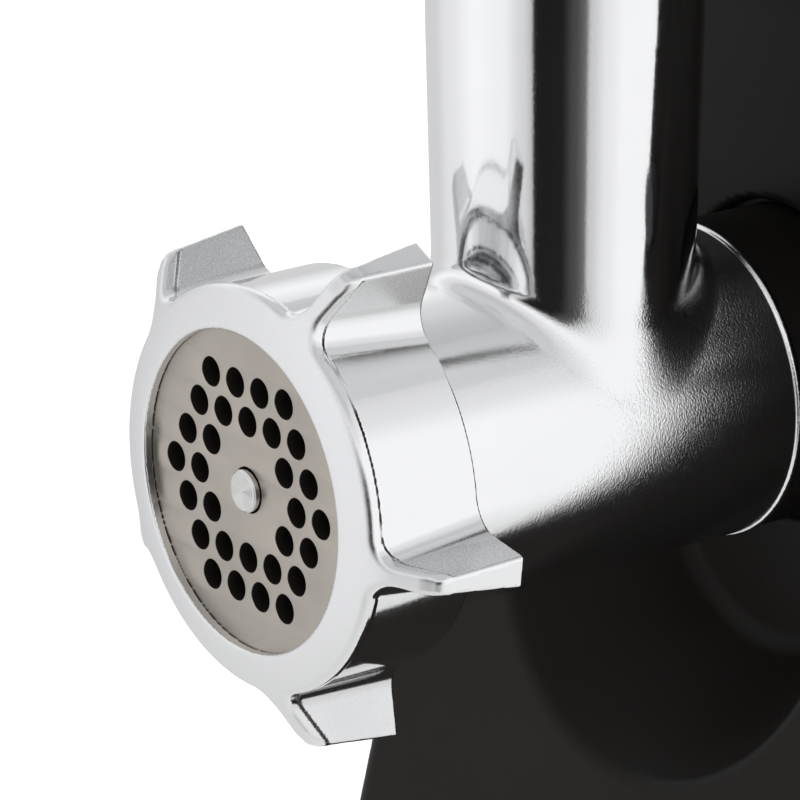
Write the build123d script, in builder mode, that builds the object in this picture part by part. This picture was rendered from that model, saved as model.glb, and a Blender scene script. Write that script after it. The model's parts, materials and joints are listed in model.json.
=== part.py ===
from build123d import *
from math import atan2, cos, degrees, hypot, pi, radians, sin, sqrt, tan
import os

# An electric meat grinder: a cast head with a hopper tube, cutting plate and winged ring nut,
# held by a bayonet in a plastic housing that holds the motor and gearbox.
#
# Frame: +Z up, +Y from the cutting plate back into the housing, +X to the right seen from the
# front. The origin is on the floor below the middle of the whole machine. Sizes below are given
# from the barrel axis: y back from the cutting plate's front face, z up from the axis.

# ---- driving dimensions, millimetres ----
axis_height = 150.0

hole_pitch = 6.2
hole_r = 2.3
lattice_side = 3
plate_r = 27.0
plate_thickness = 5.0
stud_r = 3.3
stud_hole_r = 3.55
stud_front = -1.0

ring_front = -1.7
ring_rear = 20.0
ring_r = 31.3
ring_opening_r = 24.8
thread_r = 29.3
thread_gap = 0.1
wing_count = 5
wing_first_angle = -6.7
wing_front_r = 40.6
wing_rear_r = 42.0

barrel_r = 24.6
bore_r = 22.0
barrel_rear = 86.2
spigot_r = 20.0
spigot_bore_r = 16.5
spigot_rear = 109.0
tube_y = 59.0
tube_r = 20.9
tube_bore_r = 18.0
tube_top = 112.0
twist = 40.0

front_slope = 0.25
front_at_axis = 86.1
cover_wall = 3.0
half_width = 63.5
housing_top = 72.0
housing_rear = 252.0
parting = 118.0
recess_z = -21.1
recess_rim_r = 41.3
recess_floor_r = 26.0
recess_back = 101.0

feet_height = 6.0
base_thickness = 3.0
gland_flange = 1.5

output_teeth, output_module = 49, 1.5
second_pinion_teeth = 14
second_wheel_teeth, second_module = 56, 1.0
first_pinion_teeth = 14
first_wheel_teeth, first_module = 60, 0.8
rotor_pinion_teeth = 12
motor_z = -75.0

running_fit = 0.06

# ---- places worked out from them ----
plate_y = -(housing_rear + gland_flange + ring_front) / 2
floor_z = -axis_height
shell_z = floor_z + feet_height
lean = sqrt(1 + front_slope**2)


def front_y(z):
    """Where the leaning front of the housing stands at height z."""
    return front_at_axis + front_slope * z


def facing(y, x=0.0, z=0.0):
    """A plane across the barrel axis. Local x is +X, local y is +Z, and it faces the front."""
    return Plane(origin=(x, plate_y + y, axis_height + z), x_dir=(1, 0, 0), z_dir=(0, -1, 0))


def along(x=0.0, z=0.0):
    """A plane that holds a fore-and-aft axis. Local x is y from the plate, local y is up."""
    return Plane(origin=(x, plate_y, axis_height + z), x_dir=(0, 1, 0), z_dir=(1, 0, 0))


def level(z):
    """A level plane. Local x is +X, local y is y from the plate."""
    return Plane(origin=(0, plate_y, axis_height + z), x_dir=(1, 0, 0), z_dir=(0, 0, 1))


def sideways(x):
    """A plane across X. Local x is y from the plate, local y is z, and it faces +X."""
    return Plane(origin=(x, plate_y, axis_height), x_dir=(0, 1, 0), z_dir=(1, 0, 0))


def fore_and_aft(x=0.0, z=0.0):
    return Axis((x, plate_y, axis_height + z), (0, 1, 0))


def polar(radius, angle):
    return radius * cos(radians(angle)), radius * sin(radians(angle))


def outline(plane, *points):
    """A face inside straight lines through points on a plane."""
    with BuildSketch(plane) as face:
        with BuildLine():
            Polyline(*points, close=True)
        make_face()
    return face.sketch


def profile(*points, x=0.0, z=0.0):
    """A face of (y, radius) points, ready to turn about the fore-and-aft axis at x, z."""
    return outline(along(x, z), *points)


def disc(plane, radius, bore=0.0, places=((0, 0),)):
    """Round faces, with a bore where one is given."""
    with BuildSketch(plane) as face:
        with Locations(*places):
            Circle(radius)
            if bore:
                Circle(bore, mode=Mode.SUBTRACT)
    return face.sketch


def block(plane, width, height, places=((0, 0),), corner=0.0):
    """Rectangular faces, with rounded corners where a radius is given."""
    with BuildSketch(plane) as face:
        with Locations(*places):
            if corner:
                RectangleRounded(width, height, corner)
            else:
                Rectangle(width, height)
    return face.sketch


def sectors(plane, r0, r1, width, *angles):
    """Parts of a ring, each as many degrees wide, about the given angles from +X towards +Z."""
    with BuildSketch(plane) as face:
        for middle in angles:
            start = middle - width / 2
            end = middle + width / 2
            with BuildLine():
                CenterArc((0, 0), r1, start, width)
                Line(polar(r1, end), polar(r0, end))
                CenterArc((0, 0), r0, start, width)
                Line(polar(r0, start), polar(r1, start))
            make_face()
    return face.sketch


os.makedirs("parts", exist_ok=True)


def keep(builder, label):
    builder.part.label = label
    export_step(builder.part, f"parts/{label}.step")


# ================= cutting plate, ring nut, knife =================
# The holes lie on a triangular lattice whose middle seven places are left solid.
hole_places = [
    (hole_pitch * (q + r / 2), hole_pitch * sqrt(3) / 2 * r)
    for q in range(-lattice_side, lattice_side + 1)
    for r in range(-lattice_side, lattice_side + 1)
    if 2 <= max(abs(q), abs(r), abs(q + r)) <= lattice_side
]
key_r = 1.5
with BuildPart() as cutting_plate:
    with BuildSketch(facing(0)):
        Circle(plate_r)
        with Locations(*hole_places):
            Circle(hole_r, mode=Mode.SUBTRACT)
        Circle(stud_hole_r, mode=Mode.SUBTRACT)
        with Locations((0, -plate_r)):
            Circle(key_r + 0.3, mode=Mode.SUBTRACT)
    extrude(amount=-plate_thickness)
keep(cutting_plate, "cutting_plate")

# The wings' front edges rake back from the face to the tips, and their outer facets open
# slightly to the rear.
rake_y = 5.3
wing_tip_half = 2.4
wing_root_half = 3.4
wing_root_fillet = 6.0
with BuildPart() as ring_nut:
    with BuildSketch(facing(ring_front)) as star:
        Circle(ring_r)
        with PolarLocations(0, wing_count, start_angle=wing_first_angle):
            Polygon(
                (ring_r / 2, -wing_root_half),
                (wing_rear_r + 2, -wing_tip_half),
                (wing_rear_r + 2, wing_tip_half),
                (ring_r / 2, wing_root_half),
                align=None,
            )
        roots = [v for v in star.vertices() if abs(hypot(v.X, v.Y) - ring_r) < 0.1]
        fillet(roots, radius=wing_root_fillet)
    extrude(amount=ring_front - ring_rear)
    revolve(
        profile((ring_front - 2, 30.0), (ring_front, 30.0), (-0.5, 31.2), (rake_y, wing_front_r),
                (ring_rear + 1, wing_rear_r + 0.1), (ring_rear + 1, 60), (ring_front - 2, 60)),
        axis=fore_and_aft(),
        mode=Mode.SUBTRACT,
    )
    revolve(
        profile((ring_front - 1, 0), (ring_front - 1, ring_opening_r + 1.5),
                (ring_front + 0.5, ring_opening_r), (0, ring_opening_r),
                (0, thread_r + thread_gap), (ring_rear + 1, thread_r + thread_gap),
                (ring_rear + 1, 0)),
        axis=fore_and_aft(),
        mode=Mode.SUBTRACT,
    )
keep(ring_nut, "ring_nut")

journal = 8.0
knife_front = plate_thickness + 0.05
knife_rear = 9.6
with BuildPart() as cross_knife:
    with BuildSketch(facing(knife_front)):
        Circle(8.5)
        with PolarLocations(0, 4, start_angle=20):
            Polygon((0, -4.2), (20.6, -3.0), (20.6, 3.0), (0, 5.0), align=None)
        Rectangle(journal + 0.1, journal + 0.1, mode=Mode.SUBTRACT)
    extrude(amount=knife_front - knife_rear)
keep(cross_knife, "cross_knife")

# ================= head casting =================
mouth_front = 1.0
mouth_rear = 18.6
bush_r = 9.4
barrel_floor = 83.0
neck_floor = 89.5
ear_front = 104.6
ear_rear = 108.9
ear_r = 23.2
ear_width = 30.0
ear_angles = (90, 210, 330)
with BuildPart() as head_casting:
    revolve(
        profile((mouth_front, 0), (mouth_front, thread_r), (mouth_rear, thread_r),
                (22.5, barrel_r), (barrel_rear, barrel_r), (barrel_rear, 0)),
        axis=fore_and_aft(),
    )
    extrude(disc(level(0), tube_r, places=((0, tube_y),)), amount=tube_top)
    saddle = [
        e for e in head_casting.edges()
        if e.geom_type not in (GeomType.LINE, GeomType.CIRCLE) and e.center().Z > axis_height
    ]
    fillet(saddle, radius=4.0)
    extrude(disc(facing(barrel_rear - 1), spigot_r), amount=barrel_rear - 1 - spigot_rear)
    extrude(sectors(facing(ear_front), spigot_r - 1, ear_r, ear_width, *ear_angles),
            amount=ear_front - ear_rear)
    revolve(
        profile((0, 0), (0, plate_r + 0.15), (plate_thickness + 0.1, plate_r + 0.15),
                (plate_thickness + 0.1, bore_r), (barrel_floor, bore_r), (barrel_floor, bush_r),
                (neck_floor, bush_r), (neck_floor, spigot_bore_r),
                (spigot_rear + 1, spigot_bore_r), (spigot_rear + 1, 0)),
        axis=fore_and_aft(),
        mode=Mode.SUBTRACT,
    )
    extrude(disc(level(0), tube_bore_r, places=((0, tube_y),)), amount=tube_top + 1,
            mode=Mode.SUBTRACT)
    extrude(disc(facing(mouth_front), key_r, places=((0, -plate_r),)),
            amount=mouth_front - plate_thickness - 0.1)
keep(head_casting, "head_casting")

screw_tail_r = 7.9
with BuildPart() as barrel_bush:
    extrude(disc(facing(barrel_floor), bush_r, screw_tail_r + running_fit),
            amount=barrel_floor - neck_floor)
keep(barrel_bush, "barrel_bush")

# ================= feed screw =================
core_front_r = 8.0
core_rear_r = 10.0
flight_r = 21.2
flight_pitch = 23.0
flight_front = 13.0
flight_length = 60.0
flight_root, flight_tip = 5.2, 2.4
flight_sink = 1.5
screw_shoulder = 80.2
hex_across = 12.6
screw_rear = 106.5
with BuildPart() as feed_screw:
    revolve(
        profile((stud_front, 0), (stud_front, stud_r - 0.3), (stud_front + 0.3, stud_r),
                (knife_rear, stud_r), (11, stud_r), (11, core_front_r),
                (screw_shoulder, core_rear_r), (screw_shoulder, screw_tail_r),
                (neck_floor, screw_tail_r), (neck_floor, 0)),
        axis=fore_and_aft(),
    )
    extrude(block(facing(knife_front), journal, journal), amount=knife_front - 11.5)
    with BuildSketch(facing(neck_floor)):
        RegularPolygon(hex_across / 2, 6, major_radius=False)
    extrude(amount=neck_floor - screw_rear)
    with BuildLine():
        Helix(flight_pitch, flight_length, core_front_r, direction=(0, 1, 0),
              center=(0, plate_y + flight_front, axis_height))
    with BuildSketch(Plane(origin=(0, plate_y + flight_front, axis_height),
                           x_dir=(0, 0, 1), z_dir=(-1, 0, 0))):
        Polygon(
            (core_front_r - flight_sink, -flight_root / 2), (flight_r, -flight_tip / 2),
            (flight_r, flight_tip / 2), (core_front_r - flight_sink, flight_root / 2),
            align=None,
        )
    sweep(is_frenet=True)
keep(feed_screw, "feed_screw")

washer_r = 15.0
with BuildPart() as screw_washer:
    extrude(disc(facing(screw_shoulder + 0.1), washer_r, screw_tail_r + 0.05),
            amount=screw_shoulder + 0.3 - barrel_floor)
keep(screw_washer, "screw_washer")

# ================= hopper tray and food pusher =================
tray_width, tray_length = 180.0, 148.0
tray_middle = 74.0
tray_floor = 2.0
tray_height = 30.0
tray_wall = 2.0
tray_taper = -12
tray_corner = 26.0
tray_draw_in = 13.0
collar_wall = 2.2
collar_fit = 0.1
collar_depth = 14.0
foot_width, foot_length = tray_width - tray_draw_in, tray_length - tray_draw_in
with BuildPart() as hopper_tray:
    with BuildSketch(level(tube_top)):
        with Locations((0, tray_middle)):
            RectangleRounded(foot_width, foot_length, tray_corner)
    extrude(amount=tray_height, taper=tray_taper)
    with BuildSketch(level(tube_top + tray_floor)):
        with Locations((0, tray_middle)):
            RectangleRounded(foot_width - 2 * tray_wall, foot_length - 2 * tray_wall,
                             tray_corner - tray_wall)
    extrude(amount=tray_height, taper=tray_taper, mode=Mode.SUBTRACT)
    extrude(disc(level(tube_top - collar_depth), tube_r + collar_wall, places=((0, tube_y),)),
            amount=collar_depth + tray_floor)
    extrude(disc(level(tube_top - collar_depth), tube_r + collar_fit, places=((0, tube_y),)),
            amount=collar_depth, mode=Mode.SUBTRACT)
    extrude(disc(level(tube_top - 1), tube_bore_r, places=((0, tube_y),)),
            amount=tray_floor + 2, mode=Mode.SUBTRACT)
keep(hopper_tray, "hopper_tray")

pusher_r = 17.2
pusher_foot = 42.0
pusher_stop = tube_top + tray_floor + 0.3
pusher_top = 168.0
pusher_wall = 2.2
grip_r = 19.5
stop_r = 26.0
cap_r = 21.0
cap_plug_depth = 5.0
cap_height = 7.0
pusher_axis = Axis((0, plate_y + tube_y, 0), (0, 0, 1))


def upright(*points):
    """A face of (radius, z) points, ready to turn about the hopper tube's axis."""
    plane = Plane(origin=(0, plate_y + tube_y, axis_height), x_dir=(1, 0, 0), z_dir=(0, -1, 0))
    return outline(plane, *points)


with BuildPart() as food_pusher:
    revolve(
        upright((0, pusher_foot), (pusher_r - 1.5, pusher_foot), (pusher_r, pusher_foot + 1.5),
                (pusher_r, pusher_stop), (stop_r - 1, pusher_stop), (stop_r, pusher_stop + 1),
                (stop_r, pusher_stop + 4), (grip_r, pusher_stop + 6), (grip_r, pusher_top),
                (grip_r - pusher_wall, pusher_top), (grip_r - pusher_wall, pusher_stop + 8),
                (pusher_r - pusher_wall, pusher_stop),
                (pusher_r - pusher_wall, pusher_foot + 2.5), (0, pusher_foot + 2.5)),
        axis=pusher_axis,
    )
keep(food_pusher, "food_pusher")

with BuildPart() as pusher_cap:
    revolve(
        upright((0, pusher_top), (cap_r - 0.5, pusher_top), (cap_r, pusher_top + 1),
                (cap_r - 1, pusher_top + cap_height - 1.5), (cap_r - 5, pusher_top + cap_height),
                (0, pusher_top + cap_height)),
        axis=pusher_axis,
    )
    plug_r = grip_r - pusher_wall - 0.05
    extrude(disc(level(pusher_top), plug_r, plug_r - pusher_wall, places=((0, tube_y),)),
            amount=-cap_plug_depth)
keep(pusher_cap, "pusher_cap")

# ================= housing shells =================
top_middle = (170.0, 79.0)
top_rear = (housing_rear, 64.0)
brow_r = 9.0
rear_corner_r = 16.0
edge_r = 4.5


def casing(inset, deeper=0.0):
    """The housing's outer form, drawn in by a wall, and run down past the bottom by a depth."""
    bottom = shell_z - deeper
    front = inset * lean
    top = housing_top - inset
    with BuildPart() as body:
        with BuildSketch(sideways(inset - half_width)) as side:
            with BuildLine():
                Line((front_y(bottom) + front, bottom), (front_y(top) + front, top))
                ThreePointArc((front_y(top) + front, top),
                              (top_middle[0], top_middle[1] - inset),
                              (top_rear[0] - inset, top_rear[1] - inset))
                Line((top_rear[0] - inset, top_rear[1] - inset), (housing_rear - inset, bottom))
                Line((housing_rear - inset, bottom), (front_y(bottom) + front, bottom))
            make_face()
            brow = [v for v in side.vertices() if abs(v.Z - axis_height - top) < 0.1]
            fillet(brow, radius=brow_r - inset)
        extrude(amount=2 * (half_width - inset))
        upright_rear = body.edges().filter_by(Axis.Z)
        fillet(upright_rear, radius=rear_corner_r - inset)
        crown = [f for f in body.faces() if abs(f.normal_at().X) < 0.1
                 and f.normal_at().Y < 0.5 and f.normal_at().Z > -0.5]
        brim = [e for f in crown for e in f.edges()
                if abs(e.tangent_at(0.5).X) < 0.99 or e.center().Y > plate_y + top_middle[0]]
        fillet(brim, radius=edge_r - inset)
    return body.part


# The leaning face's own plane, with local y chosen so that a height z is drawn at z * lean.
leaning_face = Plane(origin=(0, plate_y + front_at_axis, axis_height), x_dir=(1, 0, 0),
                     z_dir=(0, -1, front_slope))


def scoop(rim_r, floor_r, back, ahead):
    """The U-shaped recess: from its rim on the leaning face to its floor on an upright plane."""
    with BuildPart() as cavity:
        with BuildSketch(leaning_face.offset(ahead)):
            with BuildLine():
                Line((rim_r, recess_z * lean), (rim_r, recess_top * lean))
                Line((rim_r, recess_top * lean), (-rim_r, recess_top * lean))
                Line((-rim_r, recess_top * lean), (-rim_r, recess_z * lean))
                ThreePointArc((-rim_r, recess_z * lean), (0, (recess_z - rim_r) * lean),
                              (rim_r, recess_z * lean))
            make_face()
        with BuildSketch(facing(back)):
            with BuildLine():
                Line((floor_r, recess_z), (floor_r, recess_top))
                Line((floor_r, recess_top), (-floor_r, recess_top))
                Line((-floor_r, recess_top), (-floor_r, recess_z))
                ThreePointArc((-floor_r, recess_z), (0, recess_z - floor_r), (floor_r, recess_z))
            make_face()
        loft(ruled=True)
    return cavity.part


recess_top = (recess_back - front_at_axis) / front_slope - 0.6
collar_r = 24.4
flange_r = 32.0
outer_form = casing(0)
inner_form = casing(cover_wall, deeper=5)
button_x, button_z, button_r = 53.5, 22.0, 6.0
boss_x, boss_r, boss_height = 54.5, 6.1, 18.0
boss_screw_r = 1.5
front_bosses = [(x, 84.0) for x in (-boss_x, boss_x)]
rear_bosses = [(x, y) for x in (-boss_x, boss_x) for y in (140.0, 214.0)]
boss_places = front_bosses + rear_bosses
base_top = shell_z + base_thickness
with BuildPart() as front_cover:
    add(outer_form)
    add(inner_form, mode=Mode.SUBTRACT)
    split(bisect_by=facing(parting), keep=Keep.TOP)
    add(scoop(recess_rim_r + cover_wall, recess_floor_r + cover_wall, recess_back + cover_wall,
              -0.5))
    add(scoop(recess_rim_r, recess_floor_r, recess_back, 0.0), mode=Mode.SUBTRACT)
    extrude(disc(level(base_top), boss_r, boss_screw_r + 0.05, front_bosses),
            amount=boss_height)
    extrude(disc(facing(parting), collar_r + 0.1), amount=60, mode=Mode.SUBTRACT)
    extrude(disc(facing(parting), button_r + 0.35, places=((button_x, button_z),)), amount=60,
            mode=Mode.SUBTRACT)
keep(front_cover, "front_cover")

# The rear housing has vents low in both sides and across the back, and openings for the switch,
# the reverse button and the cord inlet.
rocker_y, rocker_z = 176.0, 18.0
rocker_width, rocker_tall = 12.0, 20.0
bezel_width, bezel_tall = 18.0, 27.0
reverse_y, reverse_r = 205.0, 7.0
inlet_x, inlet_z = 38.0, -118.0
inlet_r = 6.0
vent_slot, vent_length, vent_pitch = 2.6, 26.0, 6.0
vent_corner = 1.29
side_vents = [(196 + vent_pitch * (i - 4.5), -72.0) for i in range(10)]
back_vents = [(vent_pitch * (i - 6), -10.0) for i in range(13)]
with BuildPart() as rear_housing:
    add(outer_form)
    add(inner_form, mode=Mode.SUBTRACT)
    split(bisect_by=facing(parting), keep=Keep.BOTTOM)
    extrude(disc(level(base_top), boss_r, boss_screw_r + 0.05, rear_bosses),
            amount=boss_height)
    extrude(block(sideways(half_width + 1), vent_slot, vent_length, side_vents, vent_corner),
            amount=-2 * half_width - 2, mode=Mode.SUBTRACT)
    extrude(block(facing(housing_rear + 1), vent_slot, vent_length, back_vents, vent_corner),
            amount=10, mode=Mode.SUBTRACT)
    extrude(block(sideways(half_width + 1), bezel_width, bezel_tall, ((rocker_y, rocker_z),)),
            amount=-10, mode=Mode.SUBTRACT)
    extrude(disc(sideways(half_width + 1), reverse_r + 0.35, places=((reverse_y, rocker_z),)),
            amount=-10, mode=Mode.SUBTRACT)
    extrude(disc(facing(housing_rear + 1), inlet_r, places=((inlet_x, inlet_z),)), amount=10,
            mode=Mode.SUBTRACT)
keep(rear_housing, "rear_housing")

with BuildPart() as cord_inlet_gland:
    revolve(
        profile((housing_rear - cover_wall - 3, 3.6), (housing_rear - cover_wall - 3, 6.8),
                (housing_rear - cover_wall - 0.1, 6.8), (housing_rear - cover_wall - 0.1, inlet_r),
                (housing_rear, inlet_r), (housing_rear, 9), (housing_rear + gland_flange, 8.2),
                (housing_rear + gland_flange, 4.2), (housing_rear + 0.5, 3.6),
                x=inlet_x, z=inlet_z),
        axis=fore_and_aft(inlet_x, inlet_z),
    )
keep(cord_inlet_gland, "cord_inlet_gland")

# ================= base =================
base_front = front_y(shell_z) + 4.5
base_gap = 0.3
base_half = half_width - cover_wall - base_gap
base_rear = housing_rear - cover_wall - base_gap
foot_places = [(x, y) for x in (-48, 48) for y in (68, 234)]
cradle_half = 26.0
stator_front, stator_rear = 170.0, 205.0
stator_half_x, stator_half_z = 35.0, 33.0
base_corner = 13.0
rib_width = 3.0
foot_hole_r = 3.0
slot_width, slot_length, slot_pitch, slot_corner = 4.0, 30.0, 8.0, 1.9
slot_middle = 150.0
base_slots = [(slot_pitch * i, slot_middle) for i in range(-4, 5)]
with BuildPart() as base_plate:
    with BuildSketch(level(shell_z)):
        with Locations((0, (base_front + base_rear) / 2)):
            Rectangle(2 * base_half, base_rear - base_front)
        rear_corners = [v for v in vertices() if v.Y > 200]
        fillet(rear_corners, radius=base_corner)
    extrude(amount=base_thickness)
    for rib_y in (stator_front + 5, stator_rear - 8):
        extrude(block(level(base_top), 2 * cradle_half, rib_width, ((0, rib_y),)),
                amount=motor_z - stator_half_z - base_top)
    extrude(disc(level(shell_z), foot_hole_r, places=foot_places), amount=base_thickness,
            mode=Mode.SUBTRACT)
    extrude(disc(level(shell_z), boss_screw_r + 0.2, places=boss_places),
            amount=base_thickness, mode=Mode.SUBTRACT)
    extrude(block(level(shell_z), slot_width, slot_length, base_slots, slot_corner),
            amount=base_thickness, mode=Mode.SUBTRACT)
keep(base_plate, "base_plate")

foot_r = 9.0
foot_bevel = 1.5
foot_stem_r = foot_hole_r - 0.05
foot_head_r, foot_head = 4.0, 1.5
with BuildPart() as rubber_feet:
    with BuildSketch(level(floor_z)):
        with Locations(*foot_places):
            Circle(foot_r - 1)
    extrude(amount=foot_bevel, taper=-30)
    extrude(disc(level(floor_z + foot_bevel), foot_r, places=foot_places),
            amount=feet_height - foot_bevel)
    extrude(disc(level(shell_z), foot_stem_r, places=foot_places), amount=base_thickness + 1)
    extrude(disc(level(base_top), foot_head_r, places=foot_places), amount=foot_head)
keep(rubber_feet, "rubber_feet")

# ================= bayonet socket =================
collar_front = barrel_rear + 0.4
flange_front = recess_back + cover_wall
flange_rear = 112.5
chamber_front = ear_front - 0.4
chamber_rear = spigot_rear + 0.4
latch_width = 9.0
latch_angle = degrees(atan2(button_z, button_x))
case_screw_r = 1.6
collar_screw_circle = 28.0
collar_screw_places = [polar(collar_screw_circle, latch_angle + 60 + 80 * i) for i in range(4)]
collar_screw_depth = 5.5
with BuildPart() as socket_collar:
    revolve(
        profile((collar_front, spigot_r + running_fit), (collar_front, collar_r),
                (flange_front, collar_r), (flange_front, flange_r), (flange_rear, flange_r),
                (flange_rear, 19.0), (chamber_rear, 19.0), (chamber_rear, ear_r + 0.4),
                (chamber_front, ear_r + 0.4), (chamber_front, spigot_r + running_fit)),
        axis=fore_and_aft(),
    )
    extrude(sectors(facing(collar_front - 1), spigot_r - 1, ear_r + 0.3, ear_width + 3,
                    *[angle - twist for angle in ear_angles]),
            amount=collar_front - 1 - chamber_front, mode=Mode.SUBTRACT)
    with BuildSketch(facing(flange_front + 1)):
        with PolarLocations(27, 1, start_angle=latch_angle):
            Rectangle(10.5, latch_width)
    extrude(amount=flange_front - flange_rear - 1, mode=Mode.SUBTRACT)
    extrude(disc(facing(flange_rear), case_screw_r, places=collar_screw_places),
            amount=collar_screw_depth, mode=Mode.SUBTRACT)
keep(socket_collar, "socket_collar")

# ================= gear train =================
pressure_angle = 20.0
addendum, dedendum = 0.75, 1.05
backlash = 0.12


def involute(angle):
    return tan(angle) - angle


def gear_face(plane, teeth, module, phase, bore):
    """A spur gear's face, one tooth centred at the phase angle. Flanks run through three points
    of the involute, and are radial below its base circle."""
    pitch_r = module * teeth / 2
    base_r = pitch_r * cos(radians(pressure_angle))
    radii = [pitch_r - dedendum * module, pitch_r, pitch_r + addendum * module]
    half_tooth = (pi * module / 2 - backlash) / (2 * pitch_r)
    at_pitch = involute(radians(pressure_angle))
    half_angles = []
    for radius in radii:
        roll = sqrt(max(0.0, (radius / base_r) ** 2 - 1))
        half_angles.append(half_tooth + at_pitch - (roll - atan2(roll, 1)))
    points = []
    for tooth in range(teeth):
        middle = radians(phase) + 2 * pi * tooth / teeth
        flank = list(zip(radii, half_angles))
        points += [(r * cos(middle - a), r * sin(middle - a)) for r, a in flank]
        points += [(r * cos(middle + a), r * sin(middle + a)) for r, a in reversed(flank)]
    with BuildSketch(plane) as face:
        with BuildLine():
            Polyline(*points, close=True)
        make_face()
        if bore:
            Circle(bore, mode=Mode.SUBTRACT)
    return face.sketch


def meshing_phase(phase, teeth, from_place, to_place, other_teeth):
    """The phase that puts the other gear's gap on this gear's tooth along the line of centres."""
    line = degrees(atan2(to_place[1] - from_place[1], to_place[0] - from_place[0]))
    return line + 180 - ((phase - line) * teeth + 180) / other_teeth


def third_corner(a, b, from_a, from_b):
    """The point at given distances from a and b, on the left of the line from a to b."""
    apart = hypot(b[0] - a[0], b[1] - a[1])
    along_line = (from_a**2 - from_b**2 + apart**2) / (2 * apart)
    aside = sqrt(from_a**2 - along_line**2)
    ux, uz = (b[0] - a[0]) / apart, (b[1] - a[1]) / apart
    return a[0] + along_line * ux - aside * uz, a[1] + along_line * uz + aside * ux


output_place = (0.0, 0.0)
rotor_place = (0.0, motor_z)
first_centres = first_module * (first_wheel_teeth + rotor_pinion_teeth) / 2
second_centres = second_module * (second_wheel_teeth + first_pinion_teeth) / 2
output_centres = output_module * (output_teeth + second_pinion_teeth) / 2
first_place = (first_centres, motor_z)
second_place = third_corner(output_place, first_place, output_centres, second_centres)

second_pinion_phase = meshing_phase(0, output_teeth, output_place, second_place,
                                    second_pinion_teeth)
first_pinion_phase = meshing_phase(0, second_wheel_teeth, second_place, first_place,
                                   first_pinion_teeth)
rotor_pinion_phase = meshing_phase(0, first_wheel_teeth, first_place, rotor_place,
                                   rotor_pinion_teeth)

output_front, output_rear = 120.0, 132.0
second_front, second_rear = 134.0, 141.0
first_front, first_rear = 143.0, 148.0
shaft_r = 12.0
seat_r = 10.0
tail_r = 6.0
socket_front, socket_rear = 95.0, 110.6
case_back = 150.0
case_rear = 154.0
cover_front = flange_rear
cover_rear = 116.5
web_r, web_hub_r, web_sink = 32.0, 15.0, 2.5
socket_rim_r = 13.0
socket_floor = 108.5
hex_gap = 0.15

with BuildPart() as output_gear:
    extrude(gear_face(facing(output_front), output_teeth, output_module, 0, seat_r),
            amount=output_front - output_rear)
    for face_y, sink in ((output_front, -web_sink), (output_rear, web_sink)):
        extrude(disc(facing(face_y), web_r, web_hub_r), amount=sink, mode=Mode.SUBTRACT)
keep(output_gear, "output_gear")

with BuildPart() as output_shaft:
    revolve(
        profile((socket_front, 0), (socket_front, socket_rim_r - 0.8),
                (socket_front + 0.8, socket_rim_r), (socket_rear, socket_rim_r),
                (socket_rear, shaft_r), (output_front - 0.2, shaft_r),
                (output_front - 0.2, seat_r), (output_rear + 0.2, seat_r),
                (output_rear + 0.2, tail_r), (case_back + 2, tail_r), (case_back + 2, 0)),
        axis=fore_and_aft(),
    )
    with BuildSketch(facing(socket_front - 1)):
        RegularPolygon(hex_across / 2 + hex_gap, 6, major_radius=False)
    extrude(amount=socket_front - 1 - socket_floor, mode=Mode.SUBTRACT)
keep(output_shaft, "output_shaft")

second_pin_r = 4.0
first_pin_r = 3.0
with BuildPart() as second_gear:
    extrude(gear_face(facing(output_front - 0.2, *second_place), second_pinion_teeth,
                      output_module, second_pinion_phase, second_pin_r + running_fit),
            amount=output_front - 0.2 - second_front)
    extrude(gear_face(facing(second_front, *second_place), second_wheel_teeth, second_module, 0,
                      second_pin_r + running_fit), amount=second_front - second_rear)
keep(second_gear, "second_gear")

with BuildPart() as first_gear:
    extrude(gear_face(facing(second_front - 0.5, *first_place), first_pinion_teeth,
                      second_module, first_pinion_phase, first_pin_r + running_fit),
            amount=second_front - 0.5 - first_front)
    extrude(gear_face(facing(first_front, *first_place), first_wheel_teeth, first_module, 0,
                      first_pin_r + running_fit), amount=first_front - first_rear)
keep(first_gear, "first_gear")

for label, radius, place in (("second_gear_pin", second_pin_r, second_place),
                             ("first_gear_pin", first_pin_r, first_place)):
    with BuildPart() as pin:
        extrude(disc(facing(cover_front + 1, *place), radius), amount=cover_front + 1 - case_rear)
    keep(pin, label)

case_circles = [(output_place, 42.0), (second_place, 32.0), (first_place, 28.5),
                (rotor_place, 24.0)]


def case_outline(plane, inset):
    """The gearbox's outline: the tight band round a circle at each gear."""
    with BuildSketch(plane) as band:
        for place, radius in case_circles:
            with Locations(place):
                Circle(radius - inset)
        make_hull()
    return band.sketch


output_bush_r = 15.0
rear_bush_r = 8.5
ear_thick = 10.0
case_screw_places = [polar(44.5, 60), polar(44.5, 150), polar(44.5, 215),
                     (first_place[0] + 23.5, first_place[1] - 20.0),
                     (rotor_place[0] - 25.0, rotor_place[1] - 9.0)]
with BuildPart() as gearbox_cover:
    extrude(case_outline(facing(cover_front), 0), amount=cover_front - cover_rear)
    extrude(disc(facing(cover_front), 4.5, places=case_screw_places),
            amount=cover_front - cover_rear)
    extrude(disc(facing(cover_front), case_screw_r + 0.1, places=case_screw_places),
            amount=cover_front - cover_rear, mode=Mode.SUBTRACT)
    extrude(disc(facing(cover_front), output_bush_r), amount=cover_front - cover_rear,
            mode=Mode.SUBTRACT)
    for radius, place in ((second_pin_r, second_place), (first_pin_r, first_place)):
        extrude(disc(facing(cover_front + 1, *place), radius), amount=-5, mode=Mode.SUBTRACT)
    extrude(disc(facing(cover_front), case_screw_r, places=collar_screw_places), amount=-5,
            mode=Mode.SUBTRACT)
keep(gearbox_cover, "gearbox_cover")

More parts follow.
